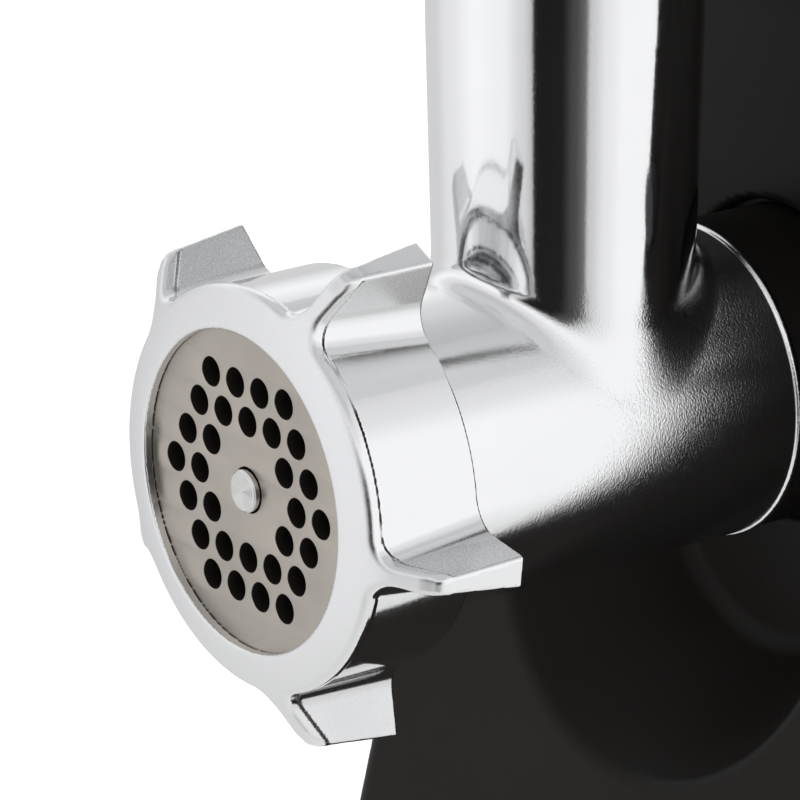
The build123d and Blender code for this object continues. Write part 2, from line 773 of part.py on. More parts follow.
with BuildPart() as gearbox_case:
    extrude(case_outline(facing(cover_rear), 0), amount=cover_rear - case_rear)
    extrude(disc(facing(cover_rear), 4.5, places=case_screw_places), amount=-ear_thick)
    extrude(case_outline(facing(cover_rear), 2.6), amount=cover_rear - case_back,
            mode=Mode.SUBTRACT)
    extrude(disc(facing(cover_rear), case_screw_r, places=case_screw_places),
            amount=-ear_thick, mode=Mode.SUBTRACT)
    extrude(disc(facing(case_back, *output_place), rear_bush_r), amount=-5, mode=Mode.SUBTRACT)
    for radius, place in ((second_pin_r, second_place), (first_pin_r, first_place)):
        extrude(disc(facing(case_back, *place), radius), amount=-5, mode=Mode.SUBTRACT)
    extrude(disc(facing(case_back, *rotor_place), 5.5), amount=-5, mode=Mode.SUBTRACT)
keep(gearbox_case, "gearbox_case")

with BuildPart() as output_bushes:
    extrude(disc(facing(cover_front), output_bush_r, shaft_r + running_fit),
            amount=cover_front - cover_rear)
    extrude(disc(facing(case_back), rear_bush_r, tail_r + running_fit),
            amount=case_back - case_rear)
keep(output_bushes, "output_bushes")

with BuildPart() as collar_screws:
    extrude(disc(facing(flange_rear - collar_screw_depth), case_screw_r,
                 places=collar_screw_places),
            amount=flange_rear - collar_screw_depth - cover_rear)
    extrude(disc(facing(cover_rear), 3.0, places=collar_screw_places), amount=-2.0)
keep(collar_screws, "collar_screws")

with BuildPart() as case_screws:
    extrude(disc(facing(cover_front), case_screw_r, places=case_screw_places),
            amount=cover_front - cover_rear - ear_thick + 1)
    extrude(disc(facing(cover_front), 3.0, places=case_screw_places), amount=2.0)
keep(case_screws, "case_screws")

# ================= motor =================
motor = {"x": rotor_place[0], "z": rotor_place[1]}
rotor_r = 20.0
stator_bore = 20.6
rotor_shaft_r = 4.0
pinion_shaft_r = 2.8
bearing_r = 9.5
bearing_front, bearing_thick = 155.0, 5.0
commutator_front, commutator_rear = 215.0, 228.0
commutator_r = 11.0
bracket_rear_y, bracket_thick = 231.0, 3.0
fan_front, fan_rear = 236.5, 244.0
coil_ends = 7.0
with BuildPart() as rotor_shaft:
    revolve(
        profile((first_front - 0.5, 0), (first_front - 0.5, pinion_shaft_r),
                (case_rear - 1, pinion_shaft_r), (case_rear - 1, rotor_shaft_r),
                (fan_rear + 0.5, rotor_shaft_r), (fan_rear + 0.5, 0), **motor),
        axis=fore_and_aft(*rotor_place),
    )
keep(rotor_shaft, "rotor_shaft")

with BuildPart() as motor_pinion:
    extrude(gear_face(facing(first_front - 0.5, *rotor_place), rotor_pinion_teeth, first_module,
                      rotor_pinion_phase, pinion_shaft_r), amount=first_front - 0.5 - 148.5)
keep(motor_pinion, "motor_pinion")

rotor_slots = 12
with BuildPart() as rotor_core:
    with BuildSketch(facing(stator_front, *rotor_place)):
        Circle(rotor_r)
        Circle(rotor_shaft_r, mode=Mode.SUBTRACT)
        with PolarLocations(rotor_r - 3, rotor_slots):
            Rectangle(8, 1.6, mode=Mode.SUBTRACT)
    extrude(amount=stator_front - stator_rear)
keep(rotor_core, "rotor_core")

with BuildPart() as rotor_windings:
    for front, rear in ((stator_front - coil_ends, stator_front),
                        (stator_rear, stator_rear + coil_ends)):
        revolve(
            profile((front, rotor_shaft_r + 1), (front, 14), (front + 2, 17.5),
                    (rear - 2, 17.5), (rear, 16), (rear, rotor_shaft_r + 1), **motor),
            axis=fore_and_aft(*rotor_place),
        )
keep(rotor_windings, "rotor_windings")

commutator_bars = 24
with BuildPart() as commutator:
    extrude(disc(facing(commutator_front, *rotor_place), commutator_r, rotor_shaft_r),
            amount=commutator_front - commutator_rear)
    with BuildSketch(facing(commutator_front, *rotor_place)):
        with PolarLocations(commutator_r, commutator_bars):
            Rectangle(1.6, 0.5)
    extrude(amount=commutator_front - commutator_rear, mode=Mode.SUBTRACT)
keep(commutator, "commutator")

blade_count = 9
with BuildPart() as cooling_fan:
    extrude(disc(facing(fan_front, *rotor_place), 27.0, rotor_shaft_r), amount=-1.5)
    extrude(disc(facing(fan_front, *rotor_place), 8.0, rotor_shaft_r),
            amount=fan_front - fan_rear)
    with BuildSketch(facing(fan_front, *rotor_place)):
        with PolarLocations(17.0, blade_count):
            Rectangle(20.0, 1.4, rotation=18)
    extrude(amount=fan_front - fan_rear)
    with BuildSketch(facing(fan_front, *rotor_place)):
        Circle(40.0)
        Circle(27.0, mode=Mode.SUBTRACT)
    extrude(amount=fan_front - fan_rear, mode=Mode.SUBTRACT)
keep(cooling_fan, "cooling_fan")

rear_bearing_front = bracket_rear_y - 1.0
stator_screw_r = 1.7
stator_screw_places = [(x, z) for x in (-31.0, 31.0) for z in (-17.0, 17.0)]
with BuildPart() as motor_bearings:
    for front in (bearing_front, rear_bearing_front):
        extrude(disc(facing(front, *rotor_place), bearing_r, rotor_shaft_r + running_fit),
                amount=-bearing_thick)
keep(motor_bearings, "motor_bearings")

with BuildPart() as motor_brackets:
    for front, pocket in ((case_rear, bearing_front), (bracket_rear_y, rear_bearing_front)):
        extrude(block(facing(front, *rotor_place), 2 * stator_half_x, 44, corner=8),
                amount=-bracket_thick)
        extrude(disc(facing(pocket, *rotor_place), bearing_r + 2.5), amount=-bearing_thick)
        extrude(disc(facing(pocket, *rotor_place), bearing_r), amount=-bearing_thick,
                mode=Mode.SUBTRACT)
    extrude(disc(facing(case_rear, *rotor_place), rotor_shaft_r + 1.5), amount=-90,
            mode=Mode.SUBTRACT)
    extrude(disc(facing(case_rear, *rotor_place), stator_screw_r + 0.1,
                 places=stator_screw_places), amount=-90, mode=Mode.SUBTRACT)
keep(motor_brackets, "motor_brackets")

with BuildPart() as motor_stator:
    with BuildSketch(facing(stator_front, *rotor_place)):
        RectangleRounded(2 * stator_half_x, 2 * stator_half_z, 9)
        Circle(stator_bore, mode=Mode.SUBTRACT)
    extrude(amount=stator_front - stator_rear)
    extrude(sectors(facing(stator_front, *rotor_place), stator_bore - 1, 28.0, 60, 0, 180),
            amount=stator_front - stator_rear, mode=Mode.SUBTRACT)
    extrude(disc(facing(stator_front, *rotor_place), 1.8, places=stator_screw_places),
            amount=stator_front - stator_rear, mode=Mode.SUBTRACT)
keep(motor_stator, "motor_stator")

with BuildPart() as field_coils:
    for start_angle in (0, 180):
        legs = (start_angle + 15, start_angle + 165)
        extrude(sectors(facing(stator_front - coil_ends, *rotor_place), 21.4, 27.5, 24, *legs),
                amount=stator_front - stator_rear - 2 * coil_ends)
        for front in (stator_front - coil_ends, stator_rear + 0.4):
            extrude(sectors(facing(front, *rotor_place), 21.4, 27.5, 174, start_angle + 90),
                    amount=0.4 - coil_ends)
keep(field_coils, "field_coils")

with BuildPart() as stator_screws:
    extrude(disc(facing(case_rear + 0.5, *rotor_place), stator_screw_r,
                 places=stator_screw_places),
            amount=case_rear + 0.5 - bracket_rear_y - bracket_thick)
    extrude(disc(facing(bracket_rear_y + bracket_thick, *rotor_place), 3.2,
                 places=stator_screw_places), amount=-2.2)
keep(stator_screws, "stator_screws")

brush_y = (commutator_front + commutator_rear) / 2
brush_width, brush_height = 6.0, 7.0
brush_length = 11.0
with BuildPart() as carbon_brushes:
    for side in (-1, 1):
        x0 = rotor_place[0] + side * (commutator_r + 0.1 + brush_length / 2)
        with BuildSketch(facing(brush_y + brush_width / 2, x0, motor_z)):
            Rectangle(brush_length, brush_height)
        extrude(amount=brush_width)
keep(carbon_brushes, "carbon_brushes")

holder_inner = commutator_r + 3.0
holder_outer = 31.0
holder_wall = 1.2
with BuildPart() as brush_holders:
    for side in (-1, 1):
        middle = side * (holder_inner + holder_outer) / 2
        span = holder_outer - holder_inner
        outside = (brush_width + 2 * holder_wall, brush_height + 2 * holder_wall)
        with BuildSketch(facing(brush_y + outside[0] / 2, middle, motor_z)):
            Rectangle(span, outside[1])
        extrude(amount=outside[0])
        with BuildSketch(facing(brush_y + brush_width / 2 + 0.1, middle - side * 1.2, motor_z)):
            Rectangle(span, brush_height + 0.2)
        extrude(amount=brush_width + 0.2, mode=Mode.SUBTRACT)
keep(brush_holders, "brush_holders")

board_front = brush_y + brush_width / 2 + holder_wall
board_thick = 2.0
with BuildPart() as brush_board:
    extrude(disc(facing(board_front, *rotor_place), 33.0, 13.5), amount=-board_thick)
    extrude(disc(facing(board_front, *rotor_place), 3.0, places=((0, 19.0), (0, -19.0))),
            amount=board_front - bracket_rear_y)
keep(brush_board, "brush_board")


def spring(start, turning_axis, length, radius, wire, turns):
    """A round-wire helical spring from a start point along an axis."""
    with BuildPart() as coil:
        with BuildLine() as path:
            Helix(length / turns, length, radius, center=start, direction=turning_axis)
        with BuildSketch(Plane(origin=path.line @ 0, z_dir=path.line % 0)):
            Circle(wire / 2)
        sweep(is_frenet=True)
    return coil.part


brush_back = commutator_r + 0.1 + brush_length
with BuildPart() as brush_springs:
    for side in (-1, 1):
        add(spring((side * (brush_back + 0.6), plate_y + brush_y, axis_height + motor_z),
                   (side, 0, 0), holder_outer - 1.2 - brush_back - 1.4, 2.2, 0.6, 5))
keep(brush_springs, "brush_springs")

# ================= controls =================
rocker_pivot_x = 59.5
rocker_arc_r = 10.0
rocker_face = 64.3
bezel_front, bezel_back = half_width + 0.8, 50.0
opening_gap = 0.3
with BuildPart() as power_rocker:
    with BuildSketch(facing(rocker_y - rocker_width / 2, rocker_pivot_x, rocker_z)):
        Circle(rocker_arc_r)
        face_x = rocker_face - rocker_pivot_x
        Polygon((-1.6, -12), (face_x + 1.4, -12), (face_x, 0), (face_x + 1.4, 12), (-1.6, 12),
                align=None, mode=Mode.INTERSECT)
    extrude(amount=-rocker_width)
keep(power_rocker, "power_rocker")

with BuildPart() as switch_bezel:
    extrude(block(sideways(bezel_back), bezel_width, bezel_tall, ((rocker_y, rocker_z),)),
            amount=half_width - bezel_back)
    extrude(block(sideways(half_width), bezel_width + 4, bezel_tall + 4,
                  ((rocker_y, rocker_z),), 2.5), amount=bezel_front - half_width)
    extrude(block(sideways(bezel_back), rocker_width + 2 * opening_gap,
                  2 * (rocker_arc_r + opening_gap), ((rocker_y, rocker_z),)), amount=20,
            mode=Mode.SUBTRACT)
keep(switch_bezel, "switch_bezel")

with BuildPart() as switch_bodies:
    extrude(block(sideways(bezel_back), bezel_width - 1, bezel_tall - 1,
                  ((rocker_y, rocker_z),)), amount=-9)
    extrude(block(sideways(bezel_back), 15, 15, ((reverse_y, rocker_z),)), amount=-9)
keep(switch_bodies, "switch_bodies")

reverse_front, reverse_back = half_width + 2.4, 55.5
with BuildPart() as reverse_button:
    extrude(disc(sideways(reverse_back), reverse_r, places=((reverse_y, rocker_z),)),
            amount=reverse_front - reverse_back)
    chamfer(reverse_button.faces().sort_by(Axis.X)[-1].edges(), length=0.8)
    extrude(disc(sideways(reverse_back), reverse_r + 1.5, places=((reverse_y, rocker_z),)),
            amount=1.5)
keep(reverse_button, "reverse_button")

with BuildPart() as reverse_spring:
    add(spring((bezel_back + 0.4, plate_y + reverse_y, axis_height + rocker_z), (1, 0, 0),
               reverse_back - bezel_back - 0.8, 4.0, 0.6, 3.5))
keep(reverse_spring, "reverse_spring")

arm_front, arm_rear = 105.3, 108.3
arm_width = 8.0
button_front = front_y(button_z) - 5.0
button_reach = hypot(button_x, button_z)
arm_tip = ear_r + 1.0
spring_reach = 37.5
with BuildPart() as release_button:
    extrude(disc(facing(button_front, button_x, button_z), button_r),
            amount=button_front - arm_rear)
    chamfer(release_button.faces().sort_by(Axis.Y)[0].edges(), length=0.8)
    with BuildSketch(facing(arm_front)):
        with PolarLocations((button_reach + arm_tip) / 2, 1, start_angle=latch_angle):
            Rectangle(button_reach - arm_tip, arm_width)
    extrude(amount=arm_front - arm_rear)
keep(release_button, "release_button")

spring_x, spring_z = polar(spring_reach, latch_angle)
with BuildPart() as release_spring:
    add(spring((spring_x, plate_y + arm_rear + 0.4, axis_height + spring_z), (0, 1, 0),
               cover_front - arm_rear - 0.8, 3.0, 0.6, 3))
keep(release_spring, "release_spring")

# ================= base screws =================
with BuildPart() as base_screws:
    extrude(disc(level(shell_z - 2.0), 3.2, places=boss_places), amount=2.0)
    extrude(disc(level(shell_z), boss_screw_r, places=boss_places),
            amount=base_thickness + boss_height - 3)
keep(base_screws, "base_screws")
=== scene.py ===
import json
import math

import bmesh
import bpy
import numpy as np
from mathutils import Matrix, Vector


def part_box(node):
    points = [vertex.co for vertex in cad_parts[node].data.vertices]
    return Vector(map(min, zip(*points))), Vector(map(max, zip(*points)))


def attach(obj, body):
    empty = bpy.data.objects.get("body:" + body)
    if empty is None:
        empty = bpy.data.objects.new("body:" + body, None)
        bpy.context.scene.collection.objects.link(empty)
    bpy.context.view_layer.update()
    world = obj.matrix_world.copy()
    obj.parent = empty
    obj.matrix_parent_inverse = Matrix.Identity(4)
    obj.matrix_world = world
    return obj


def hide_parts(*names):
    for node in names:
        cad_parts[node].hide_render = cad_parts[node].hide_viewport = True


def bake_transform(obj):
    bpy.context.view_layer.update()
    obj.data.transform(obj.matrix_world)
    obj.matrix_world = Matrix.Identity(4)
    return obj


# The looks of an electric meat grinder. Shapes are worked out in millimetres from two places that
# the frame gives: the cutting plate's front face (y = 0) and the barrel's axis (x = z = 0).

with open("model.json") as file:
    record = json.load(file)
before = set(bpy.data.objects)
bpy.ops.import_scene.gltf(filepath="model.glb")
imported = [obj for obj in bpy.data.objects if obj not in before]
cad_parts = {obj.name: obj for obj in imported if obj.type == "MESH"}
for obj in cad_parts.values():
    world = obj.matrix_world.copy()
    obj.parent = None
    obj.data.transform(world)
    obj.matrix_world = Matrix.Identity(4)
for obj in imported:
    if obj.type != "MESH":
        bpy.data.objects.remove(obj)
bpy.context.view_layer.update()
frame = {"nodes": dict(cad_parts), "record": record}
nodes = frame["nodes"]

MM = 0.001
plate_low, plate_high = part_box("cutting_plate")
ORIGIN = Vector((0.0, plate_low.y, (plate_low.z + plate_high.z) / 2))


def span(node):
    """A node's lowest and highest corner, in millimetres from the plate's face and the axis."""
    low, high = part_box(node)
    return (low - ORIGIN) / MM, (high - ORIGIN) / MM


# ================= meshing =================
def round_union(a, b, radius):
    """Two forms together, with a round fillet where they meet."""
    u, v = np.maximum(radius - a, 0), np.maximum(radius - b, 0)
    return np.maximum(radius, np.minimum(a, b)) - np.hypot(u, v)


def round_overlap(a, b, radius):
    """What two forms share, with the edge between them rounded."""
    u, v = np.maximum(radius + a, 0), np.maximum(radius + b, 0)
    return np.minimum(-radius, np.maximum(a, b)) + np.hypot(u, v)


def slope(distance, points, step=0.03):
    """The gradient of a distance field at points."""
    found = np.empty_like(points)
    for axis in range(3):
        ahead, behind = points.copy(), points.copy()
        ahead[:, axis] += step
        behind[:, axis] -= step
        found[:, axis] = (distance(*ahead.T) - distance(*behind.T)) / (2 * step)
    return found


def surface_net(distance, low, high, cell):
    """Points, quads and normals of the surface where a distance field is zero, from one point in
    each cell that the surface crosses, moved onto the surface."""
    axes = [np.arange(a, b + cell, cell) for a, b in zip(low, high)]
    value = distance(*np.meshgrid(*axes, indexing="ij", sparse=True)).astype(np.float32)
    inside = value < 0
    size = np.array(value.shape) - 1
    corners = [(i, j, k) for i in (0, 1) for j in (0, 1) for k in (0, 1)]
    count = sum(
        inside[i:i + size[0], j:j + size[1], k:k + size[2]].astype(np.int8) for i, j, k in corners
    )
    crossed = (count > 0) & (count < 8)
    cells = np.argwhere(crossed)
    number = np.full(crossed.shape, -1)
    number[crossed] = np.arange(len(cells))
    total, hits = np.zeros((len(cells), 3)), np.zeros(len(cells))
    for axis in range(3):
        for corner in corners:
            if corner[axis]:
                continue
            start = cells + corner
            end = start.copy()
            end[:, axis] += 1
            v0, v1 = value[tuple(start.T)], value[tuple(end.T)]
            cross = (v0 < 0) != (v1 < 0)
            share = np.where(cross, v0 / np.where(cross, v0 - v1, 1), 0)
            point = np.tile(np.array(corner, float), (len(cells), 1))
            point[:, axis] += share
            total += point * cross[:, None]
            hits += cross
    points = np.array(low) + (cells + total / hits[:, None]) * cell
    for _ in range(5):
        gradient = slope(distance, points)
        square = np.maximum((gradient**2).sum(1), 0.05)
        move = gradient * (distance(*points.T) / square)[:, None]
        length = np.maximum(np.linalg.norm(move, axis=1), 1e-9)
        points -= move * np.minimum(1, 0.4 * cell / length)[:, None]
    quads = []
    for axis in range(3):
        b, c = (axis + 1) % 3, (axis + 2) % 3
        first = np.moveaxis(inside, (axis, b, c), (0, 1, 2))
        ids = np.moveaxis(number, (axis, b, c), (0, 1, 2))
        change = first[:-1, 1:-1, 1:-1] != first[1:, 1:-1, 1:-1]
        i, j, k = np.nonzero(change)
        around = np.stack(
            [ids[i, j, k], ids[i, j + 1, k], ids[i, j + 1, k + 1], ids[i, j, k + 1]], axis=1
        )
        outward = first[i, j + 1, k + 1]
        quads.append(np.where(outward[:, None], around, around[:, ::-1]))
    normals = slope(distance, points)
    normals /= np.maximum(np.linalg.norm(normals, axis=1), 1e-9)[:, None]
    return points, np.concatenate(quads), normals


def in_frame(points):
    """Millimetre points as metres in the shared frame."""
    return (np.asarray(points, float) * MM + np.array(ORIGIN)).tolist()


def place(name, mesh, body, slot, *replaced):
    piece = bpy.data.objects.new(name, mesh)
    bpy.context.scene.collection.objects.link(piece)
    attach(piece, body)
    if replaced:
        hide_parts(*replaced)
    return piece


def sculpt(name, distance, low, high, cell, body, slot, *replaced):
    """A piece meshed from a distance field."""
    points, quads, normals = surface_net(distance, low, high, cell)
    mesh = bpy.data.meshes.new(name)
    mesh.from_pydata(in_frame(points), [], quads.tolist())
    mesh.update()
    mesh.shade_smooth()
    mesh.normals_split_custom_set_from_vertices(normals.tolist())
    return place(name, mesh, body, slot, *replaced)


def finish_mesh(name, points, faces, sharp=32):
    """A mesh with its normals turned outward, smooth except at sharp edges."""
    mesh = bpy.data.meshes.new(name)
    mesh.from_pydata(in_frame(points), [], faces)
    shape = bmesh.new()
    shape.from_mesh(mesh)
    bmesh.ops.remove_doubles(shape, verts=shape.verts, dist=1e-7)
    bmesh.ops.dissolve_degenerate(shape, edges=shape.edges, dist=1e-7)
    bmesh.ops.recalc_face_normals(shape, faces=shape.faces)
    shape.to_mesh(mesh)
    shape.free()
    mesh.shade_smooth()
    mesh.set_sharp_from_angle(angle=math.radians(sharp))
    return mesh


def rings(name, loops, closed=False, sharp=32):
    """A skin over loops of points. It is capped at both ends, or closed from last loop to first."""
    count = len(loops[0])
    points = [p for loop in loops for p in loop]
    faces = []
    for i in range(len(loops) if closed else len(loops) - 1):
        a, b = i * count, (i + 1) % len(loops) * count
        for j in range(count):
            k = (j + 1) % count
            faces.append((a + j, a + k, b + k, b + j))
    if not closed:
        faces.append(tuple(range(count)))
        faces.append(tuple(range((len(loops) - 1) * count, len(loops) * count)))
    return finish_mesh(name, points, faces, sharp)


def lathe(name, outline, closed=False, segments=96, sharp=32):
    """A form turned about the barrel's axis, from (place along the axis, radius) pairs."""
    loops = []
    for along, radius in outline:
        loop = []
        for i in range(segments):
            angle = 2 * math.pi * i / segments
            loop.append((radius * math.cos(angle), along, radius * math.sin(angle)))
        loops.append(loop)
    return rings(name, loops, closed, sharp)


# ================= materials =================
class Shader:
    """A material's node tree, with short names for the nodes that the finishes use."""

    def __init__(self, name):
        self.material = bpy.data.materials.new(name)
        self.material.use_nodes = True
        self.tree = self.material.node_tree
        self.base = self.tree.nodes["Principled BSDF"]
        self.place = self.node("ShaderNodeTexCoord").outputs["Object"]

    def node(self, kind, **values):
        made = self.tree.nodes.new(kind)
        for key, value in values.items():
            if key.startswith("in_"):
                made.inputs[key[3:].replace("_", " ")].default_value = value
            else:
                setattr(made, key, value)
        return made

    def link(self, source, target):
        self.tree.links.new(source, target)

    def stretched(self, scale):
        mapping = self.node("ShaderNodeMapping", in_Scale=scale)
        self.link(self.place, mapping.inputs["Vector"])
        return mapping.outputs["Vector"]

    def noise(self, scale, detail=3.0, stretch=None, roughness=0.55):
        made = self.node("ShaderNodeTexNoise", in_Scale=scale, in_Detail=detail,
                         in_Roughness=roughness)
        self.link(self.stretched(stretch) if stretch else self.place, made.inputs["Vector"])
        return made.outputs["Fac"]

    def remap(self, value, low, high, start=0.3, end=0.7):
        made = self.node("ShaderNodeMapRange")
        made.inputs["From Min"].default_value = start
        made.inputs["From Max"].default_value = end
        made.inputs["To Min"].default_value = low
        made.inputs["To Max"].default_value = high
        self.link(value, made.inputs["Value"])
        return made.outputs["Result"]

    def blend(self, share, first, second):
        """A colour between two, each a colour or another node's output."""
        mix = self.node("ShaderNodeMix", data_type="RGBA")
        self.link(share, mix.inputs["Factor"])
        for socket, colour in ((mix.inputs[6], first), (mix.inputs[7], second)):
            if isinstance(colour, bpy.types.NodeSocket):
                self.link(colour, socket)
            else:
                socket.default_value = (*colour, 1.0)
        return mix.outputs[2]

    def larger(self, first, second):
        made = self.node("ShaderNodeMath", operation="MAXIMUM")
        self.link(first, made.inputs[0])
        self.link(second, made.inputs[1])
        return made.outputs[0]

    def flank(self, facing):
        """1 where a surface around the barrel's axis faces along the turn, such as a wing's
        sides, and 0 where it faces outward."""
        outward = self.node("ShaderNodeVectorMath", operation="SUBTRACT")
        outward.inputs[1].default_value = ORIGIN
        self.link(self.place, outward.inputs[0])
        flat = self.node("ShaderNodeVectorMath", operation="MULTIPLY")
        flat.inputs[1].default_value = (1, 0, 1)
        self.link(outward.outputs[0], flat.inputs[0])
        unit = self.node("ShaderNodeVectorMath", operation="NORMALIZE")
        self.link(flat.outputs[0], unit.inputs[0])
        along = self.node("ShaderNodeVectorMath", operation="DOT_PRODUCT")
        self.link(unit.outputs[0], along.inputs[0])
        self.link(facing, along.inputs[1])
        size = self.node("ShaderNodeMath", operation="ABSOLUTE")
        self.link(along.outputs["Value"], size.inputs[0])
        return self.remap(size.outputs[0], 1.0, 0.0, 0.3, 0.62)

    def product(self, first, second):
        made = self.node("ShaderNodeMath", operation="MULTIPLY")
        self.link(first, made.inputs[0])
        self.link(second, made.inputs[1])
        return made.outputs[0]

    def scaled(self, value, factor):
        made = self.node("ShaderNodeMath", operation="MULTIPLY")
        self.link(value, made.inputs[0])
        made.inputs[1].default_value = factor
        return made.outputs[0]

    def between(self, share, first, second):
        """A number between two, by a share."""
        made = self.node("ShaderNodeMix", data_type="FLOAT")
        self.link(share, made.inputs[0])
        self.link(first, made.inputs[2])
        self.link(second, made.inputs[3])
        return made.outputs[0]

    def relief(self, layers):
        """Bumps from (height, depth in mm) pairs, one over the other."""
        normal = None
        for height, depth in layers:
            bump = self.node("ShaderNodeBump", in_Distance=depth * MM, in_Strength=1.0)
            self.link(height, bump.inputs["Height"])
            if normal is not None:
                self.link(normal, bump.inputs["Normal"])
            normal = bump.outputs["Normal"]
        self.link(normal, self.base.inputs["Normal"])


def tone(colour, factor):
    return tuple(min(1.0, c * factor) for c in colour)


def metal(name, colour, roughness, tint=0.05, grain=900.0, grain_depth=0.004, swell=70.0,
          swell_depth=0.03, stretch=None):
    """Metal with slow swells, a fine grain, and patches that are a little duller."""
    shader = Shader(name)
    shader.base.inputs["Metallic"].default_value = 1.0
    patches = shader.noise(45.0, 4.0)
    fine = shader.noise(grain, 4.0, stretch, 0.65)
    shader.link(shader.blend(shader.remap(patches, 0.0, 1.0), tone(colour, 1 - tint),
                             tone(colour, 1 + tint)), shader.base.inputs["Base Color"])
    shader.link(shader.remap(fine, roughness[0], roughness[1], 0.35, 0.7),
                shader.base.inputs["Roughness"])
    shader.relief([(shader.noise(swell, 2.0), swell_depth), (fine, grain_depth)])
    return shader.material


GRAIN_FRONT, GRAIN_TOP = 22, 27


def casting(name, colour, roughness, satin_front):
    """Polished aluminium casting. The barrel's rear keeps a coarser, blasted grain, and the
    ring nut's forward faces are satin."""
    shader = Shader(name)
    base = shader.base.inputs
    base["Metallic"].default_value = 1.0
    fine = shader.noise(2400.0, 3.0, None, 0.6)
    cloud = shader.remap(shader.noise(40.0, 4.0), 0.0, 1.0)
    polish = shader.remap(fine, roughness[0], roughness[1], 0.35, 0.7)
    split = shader.node("ShaderNodeSeparateXYZ")
    if satin_front:
        facing = shader.node("ShaderNodeTexCoord").outputs["Normal"]
        shader.link(facing, split.inputs[0])
        share = shader.remap(split.outputs["Y"], 0.0, 1.0, -0.25, -0.8)
        dull = shader.remap(fine, 0.34, 0.46, 0.35, 0.7)
        flank = shader.product(shader.flank(facing), shader.remap(share, 1.0, 0.0, 0.0, 0.6))
        rough = shader.between(share, polish, dull)
        shader.link(shader.between(flank, rough, shader.remap(fine, 0.22, 0.32, 0.35, 0.7)),
                    base["Roughness"])
        face = shader.blend(share, colour, tone(colour, 0.95))
        # Painted shade: the wing sides are darkened to 0.80 to 0.90 of the metal's colour, mottled
        # by a slow cloud noise.
        painted_flank_shade = shader.blend(cloud, tone(colour, 0.80), tone(colour, 0.90))
        shader.link(shader.blend(flank, face, painted_flank_shade), base["Base Color"])
        grain_share = shader.scaled(shader.larger(share, flank), 0.02)
    else:
        shader.link(shader.place, split.inputs[0])
        forward, top = ORIGIN.y + GRAIN_FRONT * MM, ORIGIN.z + GRAIN_TOP * MM
        back = shader.remap(split.outputs["Y"], 0.12, 1.0, forward, forward + 50 * MM)
        low = shader.remap(split.outputs["Z"], 1.0, 0.06, top - 7 * MM, top + 1 * MM)
        grain_share = shader.product(back, low)
        coarse = shader.between(grain_share, polish, shader.remap(fine, 0.12, 0.19, 0.35, 0.7))
        shader.link(coarse, base["Roughness"])
        shader.link(shader.blend(cloud, tone(colour, 0.985), tone(colour, 1.015)),
                    base["Base Color"])
    blasted = shader.product(shader.noise(3000.0, 2.0, None, 0.6), grain_share)
    shader.relief([(shader.noise(60.0, 2.0), 0.02), (blasted, 0.05), (fine, 0.003)])
    return shader.material


def plastic(name, colour, roughness, specular=0.5, tint=0.12, grain=1600.0, grain_depth=0.012):
    """Moulded plastic with a fine even texture and faint handling marks."""
    shader = Shader(name)
    shader.base.inputs["Specular IOR Level"].default_value = specular
    cloud = shader.noise(22.0, 5.0)
    fine = shader.noise(grain, 3.0, None, 0.6)
    shader.link(shader.blend(shader.remap(cloud, 0.0, 1.0), tone(colour, 1 - tint),
                             tone(colour, 1 + tint)), shader.base.inputs["Base Color"])
    marks = shader.noise(9.0, 6.0, (1.0, 1.0, 4.0))
    shader.link(shader.remap(marks, roughness[0], roughness[1]),
                shader.base.inputs["Roughness"])
    shader.relief([(fine, grain_depth)])
    return shader.material


def wound(name, colour, wires, roughness=0.35):
    """Enamelled wire laid side by side."""
    shader = Shader(name)
    shader.base.inputs["Metallic"].default_value = 0.9
    wave = shader.node("ShaderNodeTexWave", in_Scale=wires, in_Distortion=1.5, in_Detail=2.0)
    shader.link(shader.place, wave.inputs["Vector"])
    shader.link(shader.blend(wave.outputs["Fac"], tone(colour, 0.55), colour),
                shader.base.inputs["Base Color"])
    shader.base.inputs["Roughness"].default_value = roughness
    shader.relief([(wave.outputs["Fac"], 0.15)])
    return shader.material


def laminated(name, colour, sheets):
    """Stacked steel sheets with thin dark lines between them."""
    shader = Shader(name)
    shader.base.inputs["Metallic"].default_value = 0.8
    wave = shader.node("ShaderNodeTexWave", bands_direction="Y", in_Scale=sheets,
                       in_Distortion=0.4, in_Detail=1.0)
    shader.link(shader.place, wave.inputs["Vector"])
    shader.link(shader.blend(wave.outputs["Fac"], tone(colour, 0.5), tone(colour, 1.15)),
                shader.base.inputs["Base Color"])
    shader.base.inputs["Roughness"].default_value = 0.5
    shader.relief([(wave.outputs["Fac"], 0.08)])
    return shader.material


